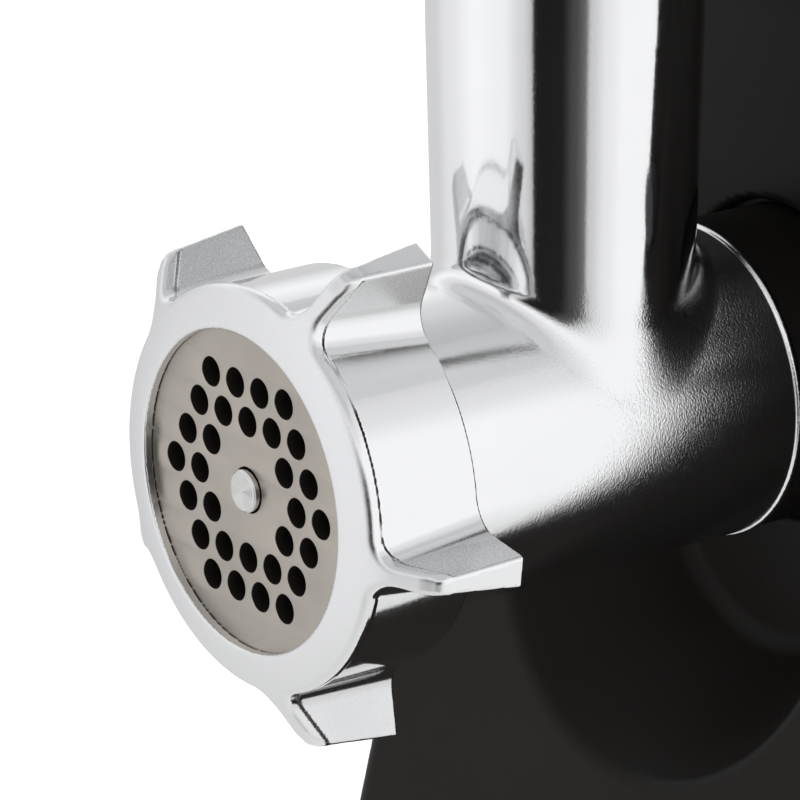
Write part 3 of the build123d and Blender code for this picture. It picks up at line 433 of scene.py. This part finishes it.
ALUMINIUM = (0.90, 0.905, 0.91)
finishes = {
    "polished_casting": casting("polished_casting", ALUMINIUM, (0.05, 0.11), False),
    "ring_casting": casting("ring_casting", ALUMINIUM, (0.06, 0.13), True),
    "brushed_steel": metal("brushed_steel", (0.465, 0.43, 0.385), (0.28, 0.40), 0.09, 60.0,
                           0.006, 90.0, 0.01, (6.0, 6.0, 260.0)),
    # Painted shade: a near-black finish for the steel plate's hole walls, standing in for the shade
    # inside the holes.
    "painted_hole_shade": plastic("painted_hole_shade", (0.012, 0.010, 0.008), (0.5, 0.6), 0.2),
    "screw_metal": metal("screw_metal", (0.70, 0.70, 0.69), (0.18, 0.30), 0.05, 1100.0, 0.006),
    "tray_metal": metal("tray_metal", (0.84, 0.845, 0.85), (0.20, 0.30), 0.03, 50.0, 0.003, 30.0,
                        0.04, (4.0, 160.0, 4.0)),
    "black_plastic": plastic("black_plastic", (0.0125, 0.0112, 0.0102), (0.34, 0.44), 0.07),
    "button_plastic": plastic("button_plastic", (0.045, 0.045, 0.048), (0.30, 0.42), 0.4),
    "white_nylon": plastic("white_nylon", (0.72, 0.70, 0.64), (0.42, 0.55), 0.45, 0.05),
    "black_rubber": plastic("black_rubber", (0.012, 0.012, 0.012), (0.68, 0.82), 0.3, 0.2, 900.0,
                            0.03),
    "gear_steel": metal("gear_steel", (0.52, 0.52, 0.51), (0.28, 0.42), 0.06, 1400.0),
    "laminated_steel": laminated("laminated_steel", (0.25, 0.25, 0.27), 320.0),
    "copper_wire": wound("copper_wire", (0.62, 0.27, 0.12), 260.0),
    "bronze": metal("bronze", (0.60, 0.42, 0.20), (0.35, 0.5), 0.08, 2200.0, 0.01),
    "carbon": plastic("carbon", (0.02, 0.02, 0.022), (0.5, 0.65), 0.5),
    "zinc_plate": metal("zinc_plate", (0.68, 0.69, 0.70), (0.25, 0.38), 0.06, 1500.0),
    "spring_steel": metal("spring_steel", (0.55, 0.55, 0.56), (0.2, 0.3), 0.05, 2000.0),
}


def paint(piece, *names):
    piece.data.materials.clear()
    for name in names:
        piece.data.materials.append(finishes[name])


for subpart in frame["record"]["subparts"]:
    paint(nodes[subpart["node"]], subpart["material_slot"])

# ================= shared sizes, millimetres =================
ring_low, ring_high = span("ring_nut")
cover_low, cover_high = span("front_cover")
tray_low, tray_high = span("hopper_tray")
RING_FRONT = ring_low.y
RING_REAR = ring_high.y
RING_R = 31.3
OPENING_R = 24.8
THREAD_R = 29.3
THREAD_PITCH = 3.0
BARREL_R = 24.6
BARREL_REAR = 86.2
TUBE_Y = 59.0
TUBE_R = 20.9
TUBE_FOOT_R = 20.15
TUBE_DRAFT = 0.026
TUBE_BORE_R = 18.0
TUBE_TOP = 112.0
PLATE_R = 27.0
PLATE_THICK = 5.0


# ================= winged ring nut =================
WING_COUNT = 5
WING_FIRST = math.radians(-6.7)
WING_TIP_FRONT = 40.6
RAKE_Y = 5.3
BEAD_DEPTH = 2.3
BEAD_PROUD = 0.55
WING_HALF = 1.75
WING_THICKENS_BACK = 0.098
WING_THICKENS_IN = 0.03
WING_ROOT_FILLET = 3.6
TIP_LEAN = 0.095
TIP_COS = 0.9955
RAKE_START = (31.2, -0.5)
RAKE_ACROSS, RAKE_ALONG = 0.525, 0.851


def thread_phase(y, angle):
    """0 at the middle of a right-hand thread's ridge, and 1 at the middle of its groove."""
    turn = y / THREAD_PITCH + angle / (2 * math.pi)
    return np.abs(turn - np.round(turn)) * 2


def ring_form(x, y, z):
    radius = np.hypot(x, z)
    angle = np.arctan2(z, x)
    pitch = 2 * math.pi / WING_COUNT
    turned = angle - WING_FIRST
    turned = turned - pitch * np.round(turned / pitch)
    across, out = radius * np.sin(turned), radius * np.cos(turned)
    half = WING_HALF + WING_THICKENS_BACK * (y - RAKE_Y) + WING_THICKENS_IN * (WING_TIP_FRONT - out)
    wing = np.maximum(np.abs(across) - half, -out)
    plan = round_union(radius - RING_R, wing, WING_ROOT_FILLET)
    face = RING_FRONT - y
    rake = RAKE_ACROSS * (radius - RAKE_START[0]) - RAKE_ALONG * (y - RAKE_START[1])
    raked = round_overlap(face, rake, 3.0)
    tip = (out - WING_TIP_FRONT - TIP_LEAN * (y - RAKE_Y)) * TIP_COS
    front = round_overlap(raked, tip, 2.6)
    body = round_overlap(plan + BEAD_PROUD, round_overlap(raked + 0.3, tip, 0.8), 0.55)
    bead = round_overlap(round_overlap(plan, front, 1.0), -(raked + BEAD_DEPTH), 0.7)
    solid = round_union(body, bead, 0.45)
    solid = round_overlap(solid, y - RING_REAR, 0.5)
    solid = round_overlap(solid, OPENING_R - radius, 0.5)
    ridge = THREAD_R + 0.1 - 0.75 * np.clip((thread_phase(y, angle) - 0.72) / 0.25, 0, 1)
    return np.maximum(solid, -np.maximum((radius - ridge) * 0.85, -y))


ring = sculpt("ring_nut_casting", ring_form, (-44, -3, -44), (44, 22, 44), 0.42,
              "ring", "polished_casting", "ring_nut")
paint(ring, "ring_casting")


# ================= cutting plate and stud =================
HOLE_PITCH = 6.2
HOLE_R = 2.3
LATTICE_SIDE = 3
STUD_HOLE_R = 3.55
PLATE_BEVEL = 0.16
KEYWAY_R = 1.8


def circle_spline(curve, centre, radius, count):
    spline = curve.splines.new("POLY")
    spline.points.add(count - 1)
    spline.use_cyclic_u = True
    for i, point in enumerate(spline.points):
        angle = 2 * math.pi * (i + 0.5) / count
        point.co = (centre[0] + radius * math.cos(angle), centre[1] + radius * math.sin(angle), 0, 1)


outline = bpy.data.curves.new("plate_outline", "CURVE")
outline.dimensions, outline.fill_mode = "2D", "BOTH"
outline.extrude = PLATE_THICK / 2 - PLATE_BEVEL
outline.bevel_depth, outline.bevel_resolution = PLATE_BEVEL, 2
circle_spline(outline, (0, 0), PLATE_R - PLATE_BEVEL, 128)
circle_spline(outline, (0, 0), STUD_HOLE_R + PLATE_BEVEL, 64)
circle_spline(outline, (0, -PLATE_R), KEYWAY_R + PLATE_BEVEL, 32)
for i in range(-LATTICE_SIDE, LATTICE_SIDE + 1):
    for j in range(-LATTICE_SIDE, LATTICE_SIDE + 1):
        if 2 <= max(abs(i), abs(j), abs(i + j)) <= LATTICE_SIDE:
            spot = (HOLE_PITCH * (i + j / 2), HOLE_PITCH * math.sqrt(3) / 2 * j)
            circle_spline(outline, spot, HOLE_R + PLATE_BEVEL, 40)
drawn = bpy.data.objects.new("plate_outline", outline)
flat = bpy.data.meshes.new_from_object(drawn)
bpy.data.objects.remove(drawn)
corners = np.array([v.co for v in flat.vertices])
disc_mesh = finish_mesh(
    "plate_disc",
    np.stack([corners[:, 0], PLATE_THICK / 2 - corners[:, 2], corners[:, 1]], axis=1),
    [tuple(face.vertices) for face in flat.polygons],
    25,
)
disc = place("plate_disc", disc_mesh, "plate", "brushed_steel", "cutting_plate")
# The plate is steel; its hole walls take the painted shade finish, set face by face in the loop
# below.
paint(disc, "brushed_steel", "painted_hole_shade")
for face in disc.data.polygons:
    middle = (face.center - ORIGIN) / MM
    if abs(face.normal.y) < 0.3 and math.hypot(middle.x, middle.z) < PLATE_R - 0.4:
        face.material_index = 1

stud_low = -1.0
stud_end = [(stud_low + 0.6, 0.0), (stud_low + 0.6, 3.28), (stud_low + 0.22, 3.28),
            (stud_low + 0.02, 3.02), (stud_low - 0.04, 2.80)]
for i in range(6):
    reach = 2.62 - 0.42 * i
    stud_end += [(stud_low + 0.10, reach), (stud_low - 0.06, reach - 0.19)]
stud_end += [(stud_low - 0.06, 0.0)]
stud_cap = place("stud_end", lathe("stud_end", stud_end, sharp=12), "drive", "screw_metal")
paint(stud_cap, "screw_metal")


# ================= head casting =================
MOUTH_FRONT = 1.0
MOUTH_REAR = 18.6
EAR_ANGLES = (90, 210, 330)
EAR_HALF_ANGLE = math.radians(15)
EAR_R, EAR_FRONT, EAR_REAR = 23.2, 104.6, 108.9
SPIGOT_R, SPIGOT_FRONT, SPIGOT_REAR = 20.0, 80, 109.0
BORE_R, BORE_REAR = 22.0, 83.0
NECK_R, NECK_REAR = 9.4, 92.0
THROAT_R, THROAT_FRONT = 16.5, 89.5
KEY_R = 1.5
SADDLE_FILLET = 3.4
TUBE_SHOULDER_Z = 97
TUBE_FOOT_Z = 27


def head_form(x, y, z):
    radius = np.hypot(x, z)
    angle = np.arctan2(z, x)
    barrel = round_overlap(radius - BARREL_R, y - BARREL_REAR, 0.6)
    ridge = THREAD_R - 1 + np.clip((0.62 - thread_phase(y, angle)) / 0.4, 0, 1)
    mouth = np.maximum((radius - ridge) * 0.85, y - MOUTH_REAR)
    cone = np.maximum((radius - (THREAD_R - 1 - (y - MOUTH_REAR) * 1.2)) * 0.64,
                      MOUTH_REAR - 2 - y)
    barrel = np.minimum(barrel, np.minimum(mouth, cone))
    barrel = round_overlap(barrel, MOUTH_FRONT - y, 0.5)
    from_tube = np.hypot(x, y - TUBE_Y)
    shaft = np.clip(TUBE_FOOT_R + TUBE_DRAFT * (z - TUBE_FOOT_Z), TUBE_FOOT_R, TUBE_R + 0.2)
    shaft = np.where(z > TUBE_SHOULDER_Z, TUBE_R, shaft)
    tube = np.maximum(from_tube - shaft, -z)
    tube = round_overlap(tube, z - TUBE_TOP, 0.5)
    outside = round_union(barrel, tube, SADDLE_FILLET)
    outside = round_overlap(outside, y - BARREL_REAR, 0.5)
    spigot = np.maximum(radius - SPIGOT_R, np.maximum(SPIGOT_FRONT - y, y - SPIGOT_REAR))
    for ear in EAR_ANGLES:
        turned = angle - math.radians(ear)
        turned = turned - 2 * math.pi * np.round(turned / (2 * math.pi))
        side = (np.abs(turned) - EAR_HALF_ANGLE) * radius
        lug = np.maximum(np.maximum(radius - EAR_R, side), np.maximum(EAR_FRONT - y, y - EAR_REAR))
        spigot = np.minimum(spigot, lug)
    outside = np.minimum(outside, spigot)
    seat = np.maximum(radius - PLATE_R - 0.15, y - PLATE_THICK - 0.1)
    bore = np.maximum(radius - BORE_R, y - BORE_REAR)
    neck = np.maximum(radius - NECK_R, y - NECK_REAR)
    throat = np.maximum(radius - THROAT_R, THROAT_FRONT - y)
    hollow = np.minimum(np.minimum(seat, bore), np.minimum(neck, throat))
    hollow = np.minimum(hollow, np.maximum(from_tube - TUBE_BORE_R, -z))
    solid = round_overlap(outside, -hollow, 0.4)
    key = np.maximum(np.hypot(x, z + PLATE_R) - KEY_R,
                     np.maximum(MOUTH_FRONT - y, y - PLATE_THICK - 0.1))
    return np.minimum(solid, key)


head = sculpt("head_casting_polished", head_form, (-31, -1, -31), (31, 111, 114), 0.8,
              "head", "polished_casting", "head_casting")
paint(head, "polished_casting")
RIM_R = 0.6
rim = []
for i in range(12):
    angle = 2 * math.pi * i / 12
    rim.append((BARREL_REAR - 0.62 + RIM_R * math.sin(angle),
                BARREL_R - 0.15 + RIM_R * math.cos(angle)))
rim_piece = place("head_rear_rim", lathe("head_rear_rim", rim, closed=True, segments=160),
                  "head", "polished_casting")
paint(rim_piece, "polished_casting")

# ================= hopper tray =================
COLLAR_DEPTH = 14.0
COLLAR_R = 23.1
COLLAR_BORE_R = 21.0
TRAY_TAPER = math.radians(12)
TRAY_BASE = tray_low.z + COLLAR_DEPTH
TRAY_TOP = tray_high.z
TRAY_MIDDLE = (tray_low.y + tray_high.y) / 2
TRAY_SPREAD = (TRAY_TOP - TRAY_BASE) * math.tan(TRAY_TAPER)
TRAY_HALF_X = tray_high.x - TRAY_SPREAD
TRAY_HALF_Y = (tray_high.y - tray_low.y) / 2 - TRAY_SPREAD
TRAY_CORNER = 26.0
ROLL_R = 1.9
FLOOR_THICK = 2
OUTER_INSET, OUTER_ROUND = 2.4, 2.8
INNER_INSET, INNER_ROUND = 8.4, 6.4
CORNER_POINTS = 13
SIDE_STEPS = 8


def tray_outline():
    """Points (x, y) and outward directions around the tray's foot, from the front right corner."""
    found = []
    for turn, (sx, sy) in enumerate(((1, -1), (1, 1), (-1, 1), (-1, -1))):
        cx = sx * (TRAY_HALF_X - TRAY_CORNER)
        cy = TRAY_MIDDLE + sy * (TRAY_HALF_Y - TRAY_CORNER)
        for step in range(CORNER_POINTS):
            angle = math.radians(-90 + 90 * turn + 90 / (CORNER_POINTS - 1) * step)
            out = (math.cos(angle), math.sin(angle))
            found.append((cx + TRAY_CORNER * out[0], cy + TRAY_CORNER * out[1], *out))
    full = []
    for i, here in enumerate(found):
        full.append(here)
        ahead = found[(i + 1) % len(found)]
        if i % CORNER_POINTS == CORNER_POINTS - 1:
            for step in range(1, SIDE_STEPS):
                full.append(tuple(a + (b - a) * step / SIDE_STEPS for a, b in zip(here, ahead)))
    return full


TRAY_OUTLINE = tray_outline()


def tray_loop(outward, z):
    return [(x + outward * nx, y + outward * ny, z) for x, y, nx, ny in TRAY_OUTLINE]


def hole_loop(radius, z):
    loop = []
    for x, y, _, _ in TRAY_OUTLINE:
        angle = math.atan2(y - TUBE_Y, x)
        loop.append((radius * math.cos(angle), TUBE_Y + radius * math.sin(angle), z))
    return loop


tray_loops = [hole_loop(COLLAR_R, TRAY_BASE - 3), hole_loop(COLLAR_R + 0.3, TRAY_BASE - 0.6),
              hole_loop(24.4, TRAY_BASE), tray_loop(-6, TRAY_BASE)]
for step in range(5):
    angle = math.radians(19.5 * step)
    tray_loops.append(tray_loop(OUTER_ROUND * math.sin(angle) - OUTER_INSET,
                                TRAY_BASE + OUTER_ROUND - OUTER_ROUND * math.cos(angle)))
tray_loops.append(tray_loop(TRAY_SPREAD - 1.4, TRAY_TOP - 6.0))
tray_loops.append(tray_loop(TRAY_SPREAD - 1.15, TRAY_TOP - 4.0))
for step in range(10):
    angle = math.radians(-50 + 24 * step)
    tray_loops.append(tray_loop(TRAY_SPREAD - ROLL_R + ROLL_R * math.cos(angle),
                                TRAY_TOP - ROLL_R + ROLL_R * math.sin(angle)))
tray_loops.append(tray_loop(TRAY_SPREAD - 3.7, TRAY_TOP - 5.0))
for step in range(6):
    angle = math.radians(78 - 15.6 * step)
    tray_loops.append(tray_loop(INNER_ROUND * math.sin(angle) - INNER_INSET, TRAY_BASE + FLOOR_THICK
                                + INNER_ROUND - INNER_ROUND * math.cos(angle)))
tray_loops += [hole_loop(24.0, TRAY_BASE + FLOOR_THICK), hole_loop(19.0, TRAY_BASE + FLOOR_THICK),
               hole_loop(TUBE_BORE_R + 0.2, TRAY_BASE + 1.6),
               hole_loop(TUBE_BORE_R, TRAY_BASE + 1.0), hole_loop(TUBE_BORE_R, TRAY_BASE),
               hole_loop(COLLAR_BORE_R, TRAY_BASE),
               hole_loop(COLLAR_BORE_R, TRAY_BASE - COLLAR_DEPTH + 0.6),
               hole_loop(COLLAR_BORE_R + 0.5, TRAY_BASE - COLLAR_DEPTH),
               hole_loop(COLLAR_R - 0.5, TRAY_BASE - COLLAR_DEPTH),
               hole_loop(COLLAR_R, TRAY_BASE - COLLAR_DEPTH + 0.6)]
tray = place("pressed_tray", rings("pressed_tray", tray_loops, closed=True), "tray", "tray_metal",
             "hopper_tray")
paint(tray, "tray_metal")

# ================= button springs =================
SPRING_WIRE = 0.6
STEPS_PER_TURN = 32
WIRE_SIDES = 10


def coil_spring(name, node, axis, turns, far_side):
    """A coil spring between the housing and a button."""
    low, high = span(node)
    across = [i for i in range(3) if i != axis]
    middle = (low + high) / 2
    wire = SPRING_WIRE / 2
    radius = (high[across[0]] - low[across[0]]) / 2 - wire
    start, end = low[axis] + wire, high[axis] - wire
    loops = []
    steps = round(turns * STEPS_PER_TURN)
    for i in range(steps + 1):
        angle = 2 * math.pi * turns * i / steps
        loop = []
        for step in range(WIRE_SIDES):
            turned = 2 * math.pi * step / WIRE_SIDES
            reach = radius + wire * math.cos(turned)
            point = [0.0, 0.0, 0.0]
            point[axis] = start + (end - start) * i / steps + wire * math.sin(turned)
            point[across[0]] = middle[across[0]] + reach * math.cos(angle)
            point[across[1]] = middle[across[1]] + reach * math.sin(angle)
            loop.append(point)
        loops.append(loop)
    piece = bpy.data.objects.new(name, rings(name, loops))
    bpy.context.scene.collection.objects.link(piece)
    ends = [list(middle), list(middle)]
    ends[0][axis], ends[1][axis] = (start, end) if far_side < 0 else (end, start)
    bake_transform(piece)
    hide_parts(node)
    paint(piece, "spring_steel")


coil_spring("reverse_coil", "reverse_spring", 0, 3.5, -1)
coil_spring("release_coil", "release_spring", 1, 3.0, 1)

# ================= front shell of the housing =================
FRONT_AT_AXIS = 86.1
FRONT_SLOPE = 0.25
LEAN = math.hypot(1, FRONT_SLOPE)
HALF_WIDTH = cover_high.x
SHELL_BOTTOM = cover_low.z
PARTING = 118.0
WALL = 3.0
RECESS_Z = -21.1
RECESS_RIM_R = 41.3
RECESS_FLOOR_R = 26.0
RECESS_BACK = 101.0
BUTTON = (53.5, 22.0)
BUTTON_HOLE_R = 6.35
COLLAR_HOLE_R = 25.1
BROW_R = 9.0
EDGE_R = 4.5
RECESS_FLOOR_FILLET = 2.2
RECESS_RIM_ROUND = 1.1
LEAST_RECESS_DEPTH = 6.0
TOP_FRONT_Z = 72.0
TOP_MIDDLE = (170.0, 79.0)
TOP_REAR_Z = 64.0


def arc_through(a, b, c):
    """Centre and radius of the circle through three points of a plane."""
    ax, ay, bx, by, cx, cy = *a, *b, *c
    d = 2 * (ax * (by - cy) + bx * (cy - ay) + cx * (ay - by))
    aa, bb, cc = ax * ax + ay * ay, bx * bx + by * by, cx * cx + cy * cy
    ux = (aa * (by - cy) + bb * (cy - ay) + cc * (ay - by)) / d
    uy = (aa * (cx - bx) + bb * (ax - cx) + cc * (bx - ax)) / d
    return ux, uy, math.hypot(ax - ux, ay - uy)


_, rear_high = span("rear_housing")
ARC_Y, ARC_Z, ARC_R = arc_through((FRONT_AT_AXIS + FRONT_SLOPE * TOP_FRONT_Z, TOP_FRONT_Z),
                                  TOP_MIDDLE, (rear_high.y, TOP_REAR_Z))


def shell_form(x, y, z):
    leaning = (FRONT_AT_AXIS + FRONT_SLOPE * z - y) / LEAN
    top = np.hypot(y - ARC_Y, z - ARC_Z) - ARC_R
    core = round_overlap(round_overlap(leaning, top, BROW_R), np.abs(x) - HALF_WIDTH, EDGE_R)
    below = np.minimum(z - RECESS_Z, 0)
    out = np.hypot(x, below)
    rim_z = np.where(z < RECESS_Z, RECESS_Z + RECESS_RIM_R * below / np.maximum(out, 1e-6), z)
    rim_y = FRONT_AT_AXIS + FRONT_SLOPE * rim_z
    depth = np.maximum(RECESS_BACK - rim_y, LEAST_RECESS_DEPTH)
    narrowing = (RECESS_RIM_R - RECESS_FLOOR_R) / depth
    wall = (out - (RECESS_RIM_R - narrowing * (y - rim_y))) / np.hypot(1, narrowing)
    recess = round_overlap(wall, y - RECESS_BACK, RECESS_FLOOR_FILLET)
    hollow = round_overlap(core + WALL, WALL - recess, 1.0)
    solid = np.maximum(round_overlap(core, -recess, RECESS_RIM_ROUND), -hollow)
    solid = round_overlap(solid, SHELL_BOTTOM - z, 0.8)
    solid = round_overlap(solid, y - PARTING, 0.7)
    collar_hole = COLLAR_HOLE_R - np.hypot(x, z)
    button_hole = BUTTON_HOLE_R - np.hypot(x - BUTTON[0], z - BUTTON[1])
    return round_overlap(round_overlap(solid, collar_hole, 1.4), button_hole, 0.7)


shell = sculpt("front_shell", shell_form, (-65, 48, -146), (65, 120, 82), 1.15,
               "housing", "black_plastic", "front_cover")
paint(shell, "black_plastic")

# ================= studio =================
floor_mesh = bpy.data.meshes.new("floor")
floor_mesh.from_pydata([(-30, -30, 0), (30, -30, 0), (30, 30, 0), (-30, 30, 0)], [], [(0, 1, 2, 3)])
floor = bpy.data.objects.new("floor", floor_mesh)
bpy.context.scene.collection.objects.link(floor)
floor.visible_glossy = False
floor_shader = Shader("floor_paint")
floor_shader.base.inputs["Base Color"].default_value = (0.86, 0.86, 0.86, 1)
floor_shader.base.inputs["Roughness"].default_value = 0.9
floor_shader.base.inputs["Emission Color"].default_value = (1, 1, 1, 1)
floor_shader.base.inputs["Emission Strength"].default_value = 0.42
floor_mesh.materials.append(floor_shader.material)

AZIMUTH, ELEVATION = math.radians(53.62), math.radians(19.369)
AIM = (9.86, 20.91, 12.66)
DISTANCE = 1.1906
LENS, SENSOR = 360.0, 36.0
ahead = Vector((-math.sin(AZIMUTH) * math.cos(ELEVATION),
                math.cos(AZIMUTH) * math.cos(ELEVATION), -math.sin(ELEVATION)))
aim = ORIGIN + Vector(AIM) * MM
lens = bpy.data.cameras.new("camera")
lens.lens, lens.sensor_width = LENS, SENSOR
lens.clip_start, lens.clip_end = 0.05, 100.0
camera = bpy.data.objects.new("camera", lens)
camera.location = aim - ahead * DISTANCE
camera.rotation_mode = "QUATERNION"
camera.rotation_quaternion = ahead.to_track_quat("-Z", "Y")
bpy.context.scene.collection.objects.link(camera)
bpy.context.scene.camera = camera


def toward(azimuth, elevation):
    """A direction from the machine, with azimuth in degrees round from the camera's side towards
    the camera's right."""
    back = Vector((math.sin(AZIMUTH), -math.cos(AZIMUTH), 0))
    right = Vector((math.cos(AZIMUTH), math.sin(AZIMUTH), 0))
    a, e = math.radians(azimuth), math.radians(elevation)
    return (back * math.cos(a) + right * math.sin(a)) * math.cos(e) + Vector((0, 0, math.sin(e)))


def softbox(name, azimuth, elevation, distance, width, height, power):
    light = bpy.data.lights.new(name, "AREA")
    light.shape = "RECTANGLE"
    light.size, light.size_y = width, height
    light.energy = power
    lamp = bpy.data.objects.new(name, light)
    direction = toward(azimuth, elevation)
    lamp.location = ORIGIN + direction * distance
    lamp.rotation_mode = "QUATERNION"
    lamp.rotation_quaternion = direction.to_track_quat("Z", "Y")
    lamp.visible_camera = False
    lamp.visible_glossy = False
    bpy.context.scene.collection.objects.link(lamp)


softbox("right_box", 74, 16, 1.6, 0.9, 1.1, 9.0)
softbox("left_box", -70, 35, 1.8, 1.4, 1.0, 8.0)

# Reflections see a sky that changes with direction, and the camera sees plain white.
world = bpy.data.worlds.new("studio")
bpy.context.scene.world = world
world.use_nodes = True
sky = world.node_tree
sky.nodes.clear()


def sky_math(operation, *sources, clamp=False):
    made = sky.nodes.new("ShaderNodeMath")
    made.operation, made.use_clamp = operation, clamp
    for socket, source in zip(made.inputs, sources):
        if isinstance(source, bpy.types.NodeSocket):
            sky.links.new(source, socket)
        else:
            socket.default_value = source
    return made.outputs[0]


def sky_share(direction):
    """How far the sky's direction points along a fixed one."""
    made = sky.nodes.new("ShaderNodeVectorMath")
    made.operation = "DOT_PRODUCT"
    sky.links.new(where.outputs["Generated"], made.inputs[0])
    made.inputs[1].default_value = direction
    return made.outputs["Value"]


def sky_ramp(source, levels):
    """Brightness along a ramp, from (position, brightness) pairs."""
    made = sky.nodes.new("ShaderNodeValToRGB")
    sky.links.new(source, made.inputs["Fac"])
    stops = made.color_ramp.elements
    made.color_ramp.interpolation = "EASE"
    for i, (position, level) in enumerate(levels):
        if i < 2:
            stop = stops[i]
            stop.position = position
        else:
            stop = stops.new(position)
        stop.color = (level, level, level * 1.01, 1)
    return made.outputs["Color"]


where = sky.nodes.new("ShaderNodeTexCoord")
turn = sky_math("ARCTAN2", sky_share(toward(90, 0)), sky_share(toward(0, 0)))
height = sky_share((0, 0, 1))


def round_turn(degrees):
    return (degrees + 180) / 360


around = sky_ramp(
    sky_math("ADD", sky_math("DIVIDE", turn, 2 * math.pi), 0.5),
    [(0.0, 0.66), (1.0, 0.66), (round_turn(-140), 0.67), (round_turn(-112), 0.84),
     (round_turn(-80), 1.0), (round_turn(-55), 0.95), (round_turn(-36), 0.72),
     (round_turn(-29), 0.58), (round_turn(-26.5), 0.012), (round_turn(-4), 0.014),
     (round_turn(8), 0.07), (round_turn(16), 0.14), (round_turn(20), 0.62), (round_turn(36), 0.88),
     (round_turn(50), 1.0), (round_turn(100), 1.0), (round_turn(140), 0.85)])
over = sky_ramp(height, [(0.0, 1.0), (1.0, 0.62), (0.40, 1.0), (0.62, 0.80), (0.80, 0.58)])
LIFT_FROM, LIFT_OVER = 0.16, 0.22
BELOW_FROM, BELOW_OVER = -0.42, 0.2
BELOW_COLOUR = (0.8, 0.8, 0.8, 1)
lift = sky_math("DIVIDE", sky_math("SUBTRACT", height, LIFT_FROM), LIFT_OVER, clamp=True)
blend = sky.nodes.new("ShaderNodeMix")
blend.data_type = "RGBA"
sky.links.new(lift, blend.inputs["Factor"])
below = sky.nodes.new("ShaderNodeMix")
below.data_type = "RGBA"
sink = sky_math("DIVIDE", sky_math("SUBTRACT", BELOW_FROM, height), BELOW_OVER, clamp=True)
sky.links.new(sink, below.inputs["Factor"])
sky.links.new(around, below.inputs[6])
below.inputs[7].default_value = BELOW_COLOUR
sky.links.new(below.outputs[2], blend.inputs[6])
sky.links.new(over, blend.inputs[7])
reflected = sky.nodes.new("ShaderNodeBackground")
sky.links.new(blend.outputs[2], reflected.inputs["Color"])
plain = sky.nodes.new("ShaderNodeBackground")
plain.inputs["Color"].default_value = (1, 1, 1, 1)
path = sky.nodes.new("ShaderNodeLightPath")
mixer = sky.nodes.new("ShaderNodeMixShader")
output = sky.nodes.new("ShaderNodeOutputWorld")
sky.links.new(path.outputs["Is Camera Ray"], mixer.inputs["Fac"])
sky.links.new(reflected.outputs[0], mixer.inputs[1])
sky.links.new(plain.outputs[0], mixer.inputs[2])
sky.links.new(mixer.outputs[0], output.inputs["Surface"])
bpy.context.scene.view_settings.view_transform = "Standard"
